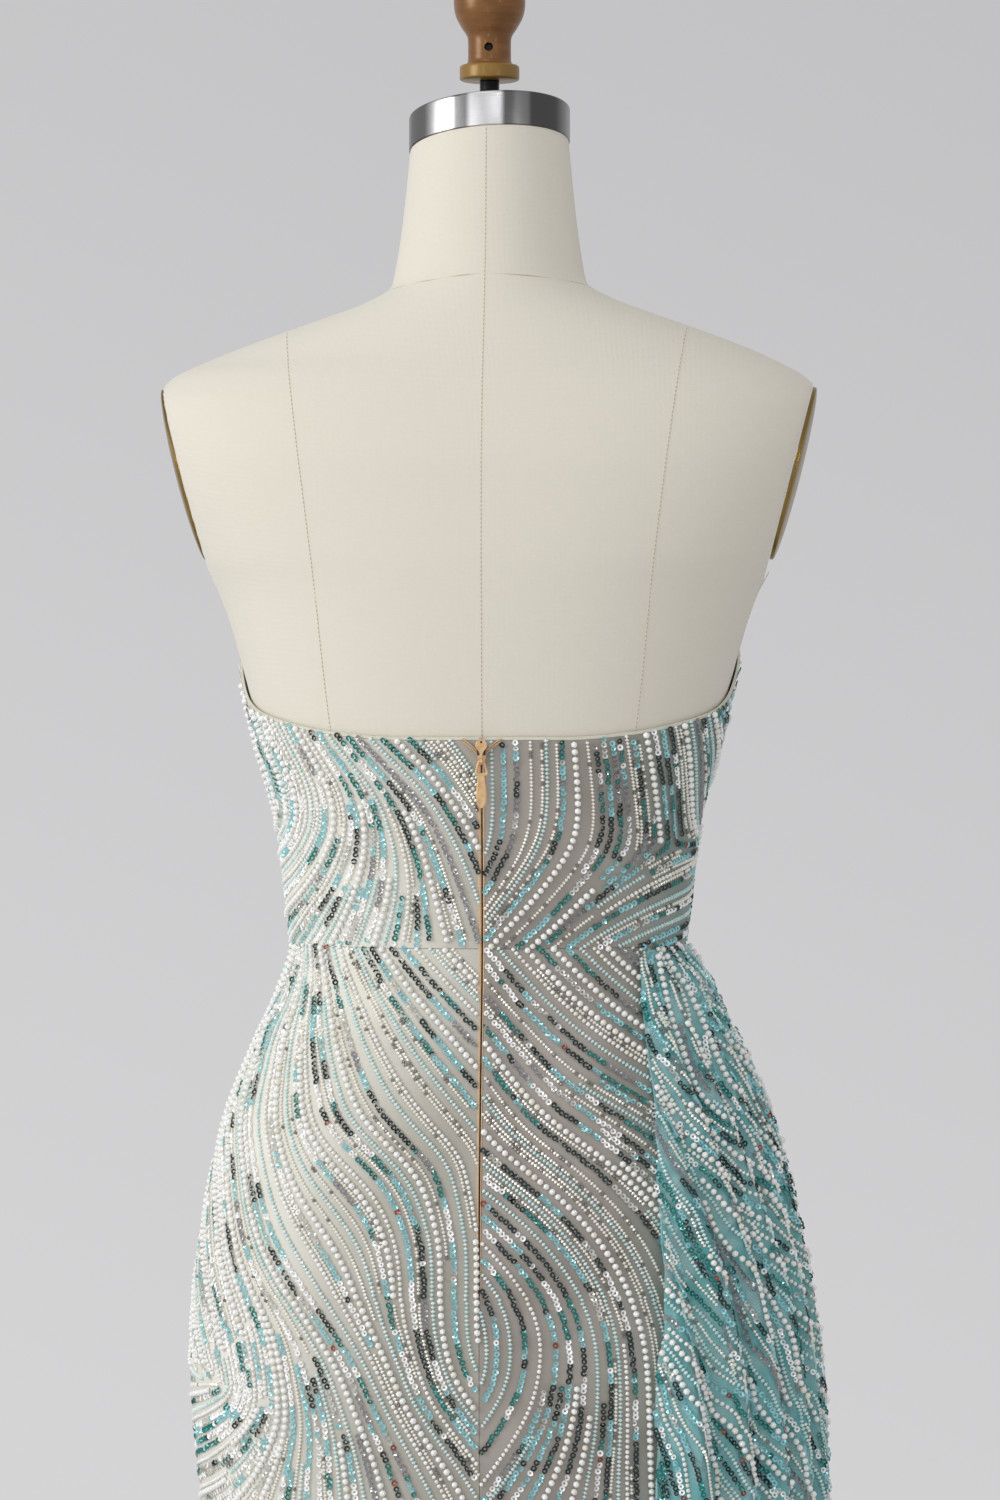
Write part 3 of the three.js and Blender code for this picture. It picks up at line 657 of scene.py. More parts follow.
bronze_collar.inputs["A"].default_value = (0.27, 0.155, 0.035, 1)
wired(
    bronze_tree,
    (bronze_place, "Object", bronze_height, "Vector"),
    (bronze_height, "Z", bronze_foot, "Value"),
    (bronze_foot, "Result", bronze_collar, "Factor"),
    (bronze_tone, "Result", bronze_collar, "B"),
    (bronze_collar, "Result", bronze_shader, "Base Color"),
    (bronze_cloud, "Fac", bronze_bump, "Height"),
    (bronze_bump, "Normal", bronze_shader, "Normal"),
)

knob_parts = turned(knob_profile, 72, (0, neck_y, knob_foot))
knob = new_piece("knob", *knob_parts, [bronze], "bronze")
bored(knob, KNOB_HOLE["radius"], KNOB_HOLE["length"], (0, neck_y, knob_foot + KNOB_HOLE["z"]))
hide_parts("form_knob")
SET_SCREW = [(2.2, -9), (2.5, -8.7), (2.5, 8.7), (2.2, 9)]
screw_points, screw_faces = turned(SET_SCREW, 24, (0, 0, 0))
screw_points = screw_points.reshape(-1, 3)[:, (0, 2, 1)] * (1, -1, 1)
screw_points = screw_points + (0, neck_y, knob_foot + KNOB_HOLE["z"])
new_piece("knob_set_screw", screw_points, screw_faces, [black], "black_metal")


# The arm plates: oval covers of polished brass, pressed to a shallow dish.
# One is screwed on over each cut armhole.
ARM_PLATE = {"height": 110, "depth": 80, "rise": 6, "rim": 1.6, "raise": 3}

brass, brass_shader, brass_tree = plain_material("polished_brass", (0.55, 0.33, 0.1), 0.24, 1.0)
brass_place = add_node(brass_tree, "ShaderNodeTexCoord")
brass_cloud = add_node(brass_tree, "ShaderNodeTexNoise", Scale=60.0, Detail=5.0)
brass_tone = two_tones(brass_tree, (0.2, 0.125, 0.035), (0.36, 0.24, 0.075))
brass_rough = ranged(brass_tree, "To", 0.16, 0.36)
wired(
    brass_tree,
    (brass_place, "Object", brass_cloud, "Vector"),
    (brass_cloud, "Fac", brass_tone, "Factor"),
    (brass_tone, "Result", brass_shader, "Base Color"),
    (brass_cloud, "Fac", brass_rough, "Value"),
    (brass_rough, "Result", brass_shader, "Roughness"),
)

plate_profile = [(0.5, 0.0), (0.5, ARM_PLATE["rim"] * 0.7)]
for t in np.linspace(0.15, math.pi / 2, 14):
    rise = ARM_PLATE["rim"] + (ARM_PLATE["rise"] - ARM_PLATE["rim"]) * math.sin(t)
    plate_profile.append((math.cos(t) / 2 + 0.002, rise))
plate_turn = np.linspace(0, 2 * math.pi, 96, endpoint=False)
for plate_name, side in (("right", 1), ("left", -1)):
    out = armhole_out * (side, 1, 1)
    up = np.array([side * math.sin(armhole_tilt), 0, math.cos(armhole_tilt)])
    centre = np.array([side * armhole_x, 0, armhole_z]) + up * ARM_PLATE["raise"] + out * SEAM_GAP
    rings = []
    for radius, rise in plate_profile:
        tall = np.cos(plate_turn)[:, None] * up * radius * ARM_PLATE["height"]
        deep = np.sin(plate_turn)[:, None] * np.array([0, -side, 0]) * radius * ARM_PLATE["depth"]
        rings.append(centre + tall + deep + out * rise)
    faces = ring_faces(len(plate_profile), 96)
    plate = new_piece(f"arm_plate_{plate_name}", rings, faces, [brass], "brass")
    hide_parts(f"form_plate_{plate_name}")


# The gown's six panels: tulle over a satin lining, cut as a left back, a right back and a front,
# each in a bodice and a long skirt, and sewn together round the waist and down the sides.
EASE = 1.5
CLOTH = 1.4
ZIP_GAP = 2.6
ZIP_END_Z = 850
ZIP_STOP_Z = 853
BACK_NECK_Z = 1186
LEFT = math.pi
NECKLINE_COLUMNS = ("turn", "z")
NECKLINE = [
    (0, BACK_NECK_Z),
    (20, BACK_NECK_Z),
    (36, 1189),
    (55, 1197),
    (68, 1203.5),
    (78, 1211),
    (87, 1221),
    (95, 1231),
    (110, 1246),
    (130, 1258),
    (150, 1262),
    (168, 1250),
    (180, 1241),
]
neckline = curve_through(NECKLINE_COLUMNS, NECKLINE, "turn", "z")


def top_edge(angle):
    return neckline(np.degrees(np.arccos(np.clip(-np.sin(angle), -1, 1))))


def angle_of(length, surface, angle, z):
    """The angle that a length along the cloth takes at this place."""
    d = 1e-3
    reach = surface(angle + d, z) - surface(angle - d, z)
    return length * 2 * d / np.linalg.norm(reach, axis=-1)


def back_edge(side):
    def edge(z):
        parted = smooth_step(z, ZIP_END_Z, ZIP_STOP_Z)
        gap = SEAM_GAP + (ZIP_GAP - SEAM_GAP) * parted
        return BACK + side * angle_of(gap / 2, figure_point, BACK, z)

    return edge


def side_edge(seam, side):
    def edge(z):
        return seam + side * angle_of(SEAM_GAP / 2, figure_point, seam, z)

    return edge


# Soft drags in the cloth, each a ridge or a trough: where its middle lies, how far it reaches
# along and across, how steeply it runs and how proud it stands.
CREASES = [
    (-150, 1082, 34, 6, 12, 0.9),
    (-142, 1052, 40, 7, -14, 0.8),
    (-120, 1040, 46, 8, -22, 0.7),
    (-66, 1046, 40, 7, 24, 0.8),
    (-58, 1078, 36, 6, 16, 0.7),
    (-160, 1010, 50, 9, -30, 0.9),
    (-104, 712, 90, 16, 80, 1.2),
    (-131, 690, 110, 18, 84, 1.4),
    (-74, 700, 100, 17, -82, 1.3),
    (60, 1080, 40, 7, 14, 0.8),
    (118, 1072, 42, 7, -12, 0.9),
    (140, 1035, 48, 8, -24, 0.8),
    (75, 640, 120, 20, 86, 1.5),
    (110, 660, 120, 19, -85, 1.4),
    (155, 700, 110, 18, 82, 1.3),
]


def gown_point(angle, z):
    """The inside of the gown's cloth, with its soft drags."""
    point = figure_point(angle, z)
    angle, z = np.broadcast_arrays(np.asarray(angle, float), np.asarray(z, float))
    turn = np.arctan2(np.sin(angle), np.cos(angle))
    proud = np.zeros(turn.shape)
    for middle, height, along, across, slope, rise in CREASES:
        side = np.arctan2(np.sin(turn - math.radians(middle)), np.cos(turn - math.radians(middle)))
        side = side * figure["width"](height) * 0.8
        lean = math.radians(slope)
        run = side * math.cos(lean) + (z - height) * math.sin(lean)
        cut = (z - height) * math.cos(lean) - side * math.sin(lean)
        proud += rise * np.exp(-((run / along) ** 2) - (cut / across) ** 2)
    away = point * (1, 1, 0)
    away /= np.linalg.norm(away, axis=-1, keepdims=True)
    return point + away * proud[..., None]


def angle_and_height(panel, across, up):
    """Where a share across a panel and a share up it lie, as an angle and a height."""
    rough = panel["start"](WAIST_Z) * (1 - across) + panel["end"](WAIST_Z) * across
    low, high = panel["low"](rough), panel["high"](rough)
    z = low + (high - low) * up
    return panel["start"](z) * (1 - across) + panel["end"](z) * across, z


def cloth_wall(name, panel, columns, rows, material, slot):
    """A closed wall of cloth, its flat width and height, and its area, in metres."""
    across = np.linspace(0, 1, columns + 1)[:, None]
    up = np.linspace(0, 1, rows + 1)[None, :]
    angle, z = angle_and_height(panel, across, up)
    inner = pushed_out(panel["surface"], angle, z, panel["inside"])
    outer = pushed_out(panel["surface"], angle, z, panel["inside"] + panel["thick"])
    points = np.concatenate([outer.reshape(-1, 3), inner.reshape(-1, 3)])
    number = np.arange(points.shape[0]).reshape(2, columns + 1, rows + 1)
    faces = []

    def quads(a, b, c, d):
        faces.append(np.stack([x.ravel() for x in (a, b, c, d)], -1))

    top, under = number
    quads(top[:-1, :-1], top[1:, :-1], top[1:, 1:], top[:-1, 1:])
    quads(under[:-1, :-1], under[:-1, 1:], under[1:, 1:], under[1:, :-1])
    quads(under[:-1, 0], under[1:, 0], top[1:, 0], top[:-1, 0])
    quads(top[:-1, -1], top[1:, -1], under[1:, -1], under[:-1, -1])
    quads(under[0, :-1], top[0, :-1], top[0, 1:], under[0, 1:])
    quads(top[-1, :-1], under[-1, :-1], under[-1, 1:], top[-1, 1:])
    wide = np.linalg.norm(np.diff(outer, axis=0), axis=-1)
    tall = np.linalg.norm(np.diff(outer, axis=1), axis=-1)
    u = np.concatenate([np.zeros((1, rows + 1)), np.cumsum(wide, 0)])
    v = np.concatenate([np.zeros((columns + 1, 1)), np.cumsum(tall, 1)], 1)
    uv = np.tile(np.stack([u, v], -1).reshape(-1, 2) * MM, (2, 1))
    wall = new_piece(name, points, np.concatenate(faces).tolist(), [material], slot)
    lay_uv(wall, uv)
    area = (wide[:, 1:] + wide[:, :-1]).sum(0) / 2 * tall.mean(0)
    flat = (float(wide.sum(0).max()) * MM, float(tall.sum(1).mean()) * MM)
    return wall, flat, float(area.sum()) * MM * MM


def lay_uv(piece, uv):
    """Gives a piece its place on the cloth, in metres, for the weave."""
    mesh = piece.data
    corner = np.empty(len(mesh.loops), np.int32)
    mesh.loops.foreach_get("vertex_index", corner)
    layer = mesh.uv_layers.new(name="cloth")
    layer.data.foreach_set("uv", np.asarray(uv, np.float32)[corner].ravel())


def tulle(name, light, dark, mesh_size, deep, reach, alpha=1.0, cloud_scale=14.0):
    """Fine net over satin: its colour clouds softly, and the net's lines cross on the slant.
    Between two lengths across the piece it takes on a deeper tint."""
    material, shader, tree = plain_material(name, light, 0.62)
    shader.inputs["Sheen Weight"].default_value = 0.35
    shader.inputs["Sheen Roughness"].default_value = 0.4
    shader.inputs["Alpha"].default_value = alpha
    cloth = add_node(tree, "ShaderNodeUVMap", uv_map="cloth")
    cloud = add_node(tree, "ShaderNodeTexNoise", Scale=cloud_scale, Detail=3.0)
    patch = ranged(tree, "From", 0.36, 0.64)
    tone = two_tones(tree, dark, light)
    lines = []
    for turn in (38, -52):
        slant = add_node(tree, "ShaderNodeMapping", Rotation=(0, 0, math.radians(turn)))
        wave = add_node(tree, "ShaderNodeTexWave", Scale=0.314 / (mesh_size * MM), Distortion=0.6)
        wired(
            tree,
            (cloth, "UV", slant, "Vector"),
            (slant, "Vector", wave, "Vector"),
        )
        lines.append(wave)
    net = add_node(tree, "ShaderNodeMath", operation="MULTIPLY")
    shade = ranged(tree, "To", 0.25, 1.0)
    share = add_node(tree, "ShaderNodeMath", operation="MULTIPLY")
    bump = add_node(tree, "ShaderNodeBump", Strength=0.3, Distance=0.0003)
    wired(
        tree,
        (lines[0], "Fac", net, 0),
        (lines[1], "Fac", net, 1),
        (net, "Value", shade, "Value"),
        (cloth, "UV", cloud, "Vector"),
        (cloud, "Fac", patch, "Value"),
        (patch, "Result", share, 0),
        (shade, "Result", share, 1),
        (share, "Value", tone, "Factor"),
    )
    across = add_node(tree, "ShaderNodeSeparateXYZ")
    toward = add_node(tree, "ShaderNodeMapRange", interpolation_type="SMOOTHSTEP")
    toward.inputs["From Min"].default_value = reach[0]
    toward.inputs["From Max"].default_value = reach[1]
    turned_tone = add_node(tree, "ShaderNodeMix", data_type="RGBA", blend_type="MULTIPLY")
    turned_tone.inputs["B"].default_value = (*deep, 1)
    wired(
        tree,
        (cloth, "UV", across, "Vector"),
        (across, "X", toward, "Value"),
        (toward, "Result", turned_tone, "Factor"),
        (tone, "Result", turned_tone, "A"),
        (turned_tone, "Result", shader, "Base Color"),
        (net, "Value", bump, "Height"),
        (bump, "Normal", shader, "Normal"),
    )
    return material


panel_cloth = {
    "back_left": tulle(
        "tulle_left", srgb(250, 248, 240), srgb(230, 227, 214), 0.9, (0.52, 0.505, 0.49), (0.07, 0.22)
    ),
    "back_right": tulle(
        "tulle_right", srgb(198, 190, 182), srgb(156, 149, 140), 0.9, (0.6, 0.86, 0.86), (0.06, 0.16)
    ),
    "front": tulle(
        "tulle_front", srgb(244, 241, 231), srgb(220, 216, 203), 0.9, (0.3, 0.38, 0.34), (0.17, 0.0)
    ),
}
panel_edges = {
    "back_left": (side_edge(-LEFT, 1), back_edge(-1), 44),
    "back_right": (back_edge(1), side_edge(0.0, -1), 44),
    "front": (side_edge(0.0, 1), side_edge(LEFT, -1), 88),
}
cloth_panels = {}
for panel_name, (start, end, columns) in panel_edges.items():
    shared = {
        "surface": gown_point,
        "inside": EASE,
        "thick": CLOTH,
        "start": start,
        "end": end,
    }
    bodice_low = WAIST_Z + SEAM_GAP / 2
    cloth_panels[f"bodice_{panel_name}"] = {
        **shared,
        "low": lambda angle, low=bodice_low: low + 0 * angle,
        "high": top_edge,
        "grid": (columns, 24),
        "cloth": panel_cloth[panel_name],
    }
    cloth_panels[f"skirt_{panel_name}"] = {
        **shared,
        "low": lambda angle: HEM_Z + 0 * angle,
        "high": lambda angle: WAIST_Z - SEAM_GAP / 2 + 0 * angle,
        "grid": (columns, 84),
        "cloth": panel_cloth[panel_name],
    }
for name, panel in cloth_panels.items():
    made = cloth_wall(f"{name}_tulle", panel, *panel["grid"], panel["cloth"], "beaded_tulle")
    panel["piece"], panel["flat"], panel["area"] = made
    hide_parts(name)


# The neckline binding: a narrow fold of pale satin over the bodice's top edge.
# It is cut on the bias, sewn on outside, turned over and slip-stitched inside.
BINDING_HEIGHT = 1.7
binding_cloth, binding_shader, binding_tree = plain_material("satin", srgb(222, 218, 200), 0.42)
binding_shader.inputs["Sheen Weight"].default_value = 0.3
binding_place = add_node(binding_tree, "ShaderNodeUVMap", uv_map="cloth")
binding_cloud = add_node(binding_tree, "ShaderNodeTexNoise", Scale=260.0, Detail=3.0)
binding_tone = two_tones(binding_tree, srgb(206, 204, 184), srgb(232, 229, 212))
binding_bump = add_node(binding_tree, "ShaderNodeBump", Strength=0.25, Distance=0.0004)
wired(
    binding_tree,
    (binding_place, "UV", binding_cloud, "Vector"),
    (binding_cloud, "Fac", binding_tone, "Factor"),
    (binding_tone, "Result", binding_shader, "Base Color"),
    (binding_cloud, "Fac", binding_bump, "Height"),
    (binding_bump, "Normal", binding_shader, "Normal"),
)

binding_panel = {
    "surface": figure_point,
    "inside": EASE,
    "thick": CLOTH,
    "start": back_edge(1),
    "end": lambda z: back_edge(-1)(z) + 2 * math.pi,
    "low": lambda angle: top_edge(angle) + SEAM_GAP,
    "high": lambda angle: top_edge(angle) + SEAM_GAP + BINDING_HEIGHT,
}
binding = cloth_wall("neckline_binding_satin", binding_panel, 240, 4, binding_cloth, "binding")[0]
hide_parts("neckline_binding")


# The zip: two folded edges of tan tape that meet over a spiral chain, sewn into the centre back
# seam, with a gilt slider and a drop-shaped gilt pull whose face is bare. The slider's crown stands
# inside the pull's loop, with a dark plate behind it that is painted shadow.
ZIP_TOP_Z = BACK_NECK_Z - 1
TAPE_WIDTH = {"bodice": 1.9, "skirt": 1.25}
TAPE_MEET = 0.9
TAPE_FAR_SHARE = 0.6  # of the width, on the side that the other overlaps
ZIP_STAND = 3.4

tape_cloth, tape_shader, tape_tree = plain_material("zip_tape", srgb(214, 176, 128), 0.7)
tape_place = add_node(tape_tree, "ShaderNodeTexCoord")
tape_ribs = add_node(tape_tree, "ShaderNodeTexWave", Scale=380.0, Distortion=0.4)
tape_ribs.bands_direction = "Z"
tape_tone = two_tones(tape_tree, srgb(192, 154, 112), srgb(234, 202, 164))
tape_bump = add_node(tape_tree, "ShaderNodeBump", Strength=0.4, Distance=0.0003)
wired(
    tape_tree,
    (tape_place, "Object", tape_ribs, "Vector"),
    (tape_ribs, "Fac", tape_tone, "Factor"),
    (tape_tone, "Result", tape_shader, "Base Color"),
    (tape_ribs, "Fac", tape_bump, "Height"),
    (tape_bump, "Normal", tape_shader, "Normal"),
)

chain_black, chain_shader, chain_tree = plain_material("zip_spiral", srgb(58, 52, 48), 0.45)
chain_place = add_node(chain_tree, "ShaderNodeTexCoord")
chain_grain = add_node(chain_tree, "ShaderNodeTexNoise", Scale=700.0)
chain_rough = ranged(chain_tree, "To", 0.3, 0.6)
wired(
    chain_tree,
    (chain_place, "Object", chain_grain, "Vector"),
    (chain_grain, "Fac", chain_rough, "Value"),
    (chain_rough, "Result", chain_shader, "Roughness"),
)


def tube(line, radius, sides, flat=1.0):
    """Points and faces of a round cord along a line of points, flattened by a share."""
    line = np.asarray(line, float)
    along = np.gradient(line, axis=0)
    along /= np.linalg.norm(along, axis=-1, keepdims=True)
    up = np.where(np.abs(along[:, 2:3]) > 0.9, (0.0, 1.0, 0.0), (0.0, 0.0, 1.0))
    side = np.cross(along, up)
    side /= np.linalg.norm(side, axis=-1, keepdims=True)
    other = np.cross(side, along)
    turn = np.linspace(0, 2 * math.pi, sides, endpoint=False)[None, :, None]
    rings = line[:, None] + radius * (
        np.cos(turn) * side[:, None] + flat * np.sin(turn) * other[:, None]
    )
    return rings.reshape(-1, 3), ring_faces(len(line), sides)


zip_heights = np.linspace(ZIP_STOP_Z + SEAM_GAP, ZIP_TOP_Z, 150)
zip_middle = pushed_out(figure_point, np.float64(BACK), zip_heights, 0.0)
tape_parts = []
tape_wide = smooth_step(zip_heights, WAIST_Z - 60, WAIST_Z + 30)
tape_wide = TAPE_WIDTH["skirt"] + (TAPE_WIDTH["bodice"] - TAPE_WIDTH["skirt"]) * tape_wide
for side in (-1, 1):
    rings = []
    for middle, wide in zip(zip_middle, tape_wide * (TAPE_FAR_SHARE if side > 0 else 1)):
        centre = (TAPE_MEET + wide) / 2
        fold_turn = np.linspace(0, math.pi, 7)
        fold = [(centre + wide / 2 * math.cos(t), 0.5 * math.sin(t)) for t in fold_turn]
        fold += [(TAPE_MEET / 2, -0.3), (centre + wide / 2, -0.3)]
        rings.append([(side * x, middle[1] - ZIP_STAND + 0.5 - y, middle[2]) for x, y in fold])
    tape_parts.append((np.array(rings), ring_faces(len(rings), len(rings[0]))))
    top = zip_middle[-1]
    arm = [
        (side * 1.0, top[1] - ZIP_STAND - 0.5, ZIP_TOP_Z - 8.5),
        (side * 3.4, top[1] - ZIP_STAND - 0.9, ZIP_TOP_Z - 6.4),
        (side * 6.0, top[1] - ZIP_STAND - 1.2, ZIP_TOP_Z - 4.0),
        (side * 9.0, top[1] - ZIP_STAND - 0.9, ZIP_TOP_Z - 1.6),
        (side * 11.6, top[1] - ZIP_STAND - 0.2, ZIP_TOP_Z + 0.2),
    ]
    for shift in (0.0, 1.5):
        lifted = [(x, y, z + shift) for x, y, z in rounded(arm, 6)]
        tape_parts.append(tube(lifted, 0.7, 8, 0.7))
tape = new_piece("zip_tape_edges", *joined(tape_parts), [tape_cloth], "zip_tape")

COIL = {"pitch": 1.1, "stand": 1.9, "wide": 0.62, "deep": 0.35, "wire": 0.22}
coil_turns = (ZIP_TOP_Z - ZIP_STOP_Z - 4) / COIL["pitch"]
coil_step = np.linspace(0, coil_turns * 2 * math.pi, int(coil_turns * 5))
coil_z = ZIP_STOP_Z + 2 + coil_step / (2 * math.pi) * COIL["pitch"]
coil_base = pushed_out(figure_point, np.float64(BACK), coil_z, COIL["stand"])
coil_wind = [COIL["wide"] * np.cos(coil_step), COIL["deep"] * np.sin(coil_step), 0 * coil_step]
coil_line = coil_base + np.stack(coil_wind, -1)
coil = new_piece("zip_spiral_chain", *tube(coil_line, COIL["wire"], 3), [chain_black], "zip_tape")
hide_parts("zip_chain")

gilt, gilt_shader, gilt_tree = plain_material("gilt_metal", srgb(222, 184, 130), 0.3, 0.7)
gilt_shader.inputs["Coat Weight"].default_value = 0.3
gilt_place = add_node(gilt_tree, "ShaderNodeTexCoord")
gilt_cloud = add_node(gilt_tree, "ShaderNodeTexNoise", Scale=300.0, Detail=3.0)
gilt_tone = two_tones(gilt_tree, srgb(206, 160, 108), srgb(246, 212, 164))
gilt_rough = ranged(gilt_tree, "To", 0.22, 0.42)
wired(
    gilt_tree,
    (gilt_place, "Object", gilt_cloud, "Vector"),
    (gilt_cloud, "Fac", gilt_tone, "Factor"),
    (gilt_tone, "Result", gilt_shader, "Base Color"),
    (gilt_cloud, "Fac", gilt_rough, "Value"),
    (gilt_rough, "Result", gilt_shader, "Roughness"),
)
slider_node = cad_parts["zip_slider"]
slider_node.data.materials.clear()
slider_node.data.materials.append(gilt)
slider_low, slider_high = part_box("zip_slider")
PULL = {"length": 29, "thick": 1.2}
PULL_EYE = {"bar": 1.2}
PULL_EDGE = 0.25
pull_low, pull_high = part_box("zip_pull")
pivot_y = (pull_low.y + pull_high.y) / 2 / MM
pivot_z = pull_high.z / MM - PULL_EYE["bar"] / 2


def flat_outline(name, outlines, thick, edge):
    """A flat piece with softened edges, from closed outlines in the X and Z plane."""
    line = bpy.data.curves.new(name, "CURVE")
    line.dimensions = "2D"
    line.fill_mode = "BOTH"
    line.extrude = (thick / 2 - edge) * MM
    line.bevel_depth = edge * MM
    line.bevel_resolution = 2
    line.offset = -edge * MM
    for outline in outlines:
        spline = line.splines.new("POLY")
        spline.points.add(len(outline) - 1)
        spline.points.foreach_set("co", [v for x, z in outline for v in (x * MM, z * MM, 0, 1)])
        spline.use_cyclic_u = True
    shape = bpy.data.objects.new(name, line)
    bpy.context.collection.objects.link(shape)
    settled = bpy.context.evaluated_depsgraph_get()
    mesh = bpy.data.meshes.new_from_object(shape.evaluated_get(settled))
    bpy.data.objects.remove(shape)
    points = np.empty(len(mesh.vertices) * 3, np.float32)
    mesh.vertices.foreach_get("co", points)
    faces = [tuple(face.vertices) for face in mesh.polygons]
    points = points.reshape(-1, 3) / MM
    return np.stack([points[:, 0], -points[:, 2], points[:, 1]], -1), faces


def mirrored(side):
    """A closed outline from its right side, listed from the top down to the middle."""
    return side + [(-x, z) for x, z in side[::-1] if x > 0]


def round_hole(x, z, wide, tall):
    turn = np.linspace(0, 2 * math.pi, 12, endpoint=False)
    return [(x + wide * math.cos(t), z + tall * math.sin(t)) for t in turn]


CROWN = {"thick": 0.9, "edge": 0.2, "above": 3.6, "inward": 0.4, "hole": 0.65, "hole_z": -1.9}
CROWN_HEAD = [(0, 0), (1.8, -0.5), (3, -2), (3.5, -4), (2.9, -5.8), (1.7, -7.2)]
CROWN_STEM = [(0.95, -9), (0.85, -11.4), (0, -12)]
crown_edge = mirrored(rounded(CROWN_HEAD + CROWN_STEM, 4))
crown_hole = round_hole(0, CROWN["hole_z"], CROWN["hole"], CROWN["hole"])
crown, crown_faces = flat_outline("crown", [crown_edge, crown_hole], CROWN["thick"], CROWN["edge"])
crown_y = slider_low.y / MM + CROWN["inward"]
crown_place = np.array([0, crown_y, slider_high.z / MM + CROWN["above"]])
new_piece("zip_slider_crown", crown + crown_place, crown_faces, [gilt], "gilt_metal")

# A thin dark plate behind the crown's holes: painted shadow, standing in for the shade inside the slider.
SHADOW_PLATE = {"thick": 0.4, "edge": 0.05, "behind": 0.3}
shadow_plate_edge = mirrored([(1.3, -1), (2.7, -5.4), (2.6, -9.8)])
shadow_plate, shadow_plate_faces = flat_outline("shadow_plate", [shadow_plate_edge], SHADOW_PLATE["thick"], SHADOW_PLATE["edge"])
shadow_plate_place = crown_place + (0, CROWN["thick"] / 2 + SHADOW_PLATE["behind"], 0)
new_piece("zip_slider_shadow_plate", shadow_plate + shadow_plate_place, shadow_plate_faces, [chain_black], "zip_tape")

loop_foot = -9.0
tail = PULL_EYE["bar"] / 2 - PULL["length"]
PULL_LOOP = [(0, 0.6), (1.5, 0.3), (2.3, -1.4), (3.2, -4.4), (3.9, -7), (3.4, -8.5)]
PULL_TAB = [(2.4, -13), (3.1, -18.5), (3.2, -22), (2.5, -26), (1.1, -28)]
pull_neck = (1.9, loop_foot)
loop_side = rounded([*PULL_LOOP, pull_neck], 6)
tab_side = rounded([pull_neck, *PULL_TAB, (0, tail)], 6)
right_side = loop_side + tab_side[1:]
pull_outline = mirrored(right_side)
eye_side = rounded([(0.9, -PULL_EYE["bar"] / 2), (1.5, -3), (2.3, -5.2), (2.5, -6.6), (1.6, -7.2)], 5)
eye_outline = mirrored(eye_side)
pull_body = flat_outline("pull_body", [pull_outline, eye_outline], PULL["thick"], PULL_EDGE)
rim_middle = (loop_foot + tail) / 2 - 1
rim_outer = [(x * 0.8, (z - rim_middle) * 0.9 + rim_middle) for x, z in pull_outline if z < loop_foot - 2]
rim_inner = [(x * 0.7, (z - rim_middle) * 0.92 + rim_middle) for x, z in rim_outer]
pull_rim = flat_outline("pull_rim", [rim_outer, rim_inner], 0.5, 0.08)
rim_points = pull_rim[0] - (0, PULL["thick"] / 2 - 0.02, 0)
pull_points, pull_faces = joined([pull_body, (rim_points, pull_rim[1])])
pull_points = pull_points + (0, pivot_y, pivot_z)
pull = new_piece("zip_pull_tab", pull_points, pull_faces, [gilt], "gilt_metal", body="pull")
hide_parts("zip_pull")


# The side drape: one wide piece of aqua tulle, gathered into the waist seam on the wearer's
# right, and beaded in rows that follow its folds down to the hem. It is not lined.
DRAPE_CLOTH = 1.2
DRAPE_FOLDS = 12
DRAPE_TOP_Z = WAIST_Z - 2
EDGE_CLOSE = 0.7  # of the drape's stand-off, at its edges
EDGE_REACH = 0.16  # of a radian
DRAPE_COLUMNS = ("z", "side", "back", "front", "fold", "swing", "start", "end")
DRAPE = [
    (12, 38, 32, 32, 13, 0.24, -57, 60),
    (130, 37, 30, 30, 12.5, 0.24, -57, 60),
    (260, 40, 30, 30, 11.5, 0.24, -57, 60),
    (390, 46, 32, 33, 10.5, 0.24, -57, 60),
    (500, 50, 31, 34, 10, 0.235, -57, 60),
    (600, 43, 26, 28, 9, 0.23, -57, 60),
    (731, 26, 17, 19, 7.5, 0.22, -57.6, 60),
    (778, 20.5, 14, 16, 6.5, 0.21, -57.3, 59),
    (850, 15, 11.5, 12, 5.8, 0.18, -56, 58),
    (901, 12.7, 10, 11, 5.0, 0.14, -54.4, 56),
    (932, 12, 9.5, 10, 4.4, 0.11, -53.6, 55),
    (963, 11.5, 9, 9.5, 3.9, 0.08, -52, 53),
    (994, 11.2, 8.6, 9, 3.2, 0.055, -49.8, 50),
    (1034, 11.5, 8, 8.5, 1.8, 0.02, -44.5, 45),
    (1049, 7.6, 6.0, 6.4, 1.3, 0.005, -42.8, 42),
    (1058, 3.5, 3.5, 3.5, 0.4, 0, -40.8, 40),
]
drape = {key: curve_through(DRAPE_COLUMNS, DRAPE, "z", key) for key in DRAPE_COLUMNS[1:]}


def share_of_drape(angle, z):
    """How far across the drape's folds a place lies, where each fold slants as it falls."""
    start, end = np.radians(drape["start"](z)), np.radians(drape["end"](z))
    return (angle - start) / (end - start) - drape["swing"](z)


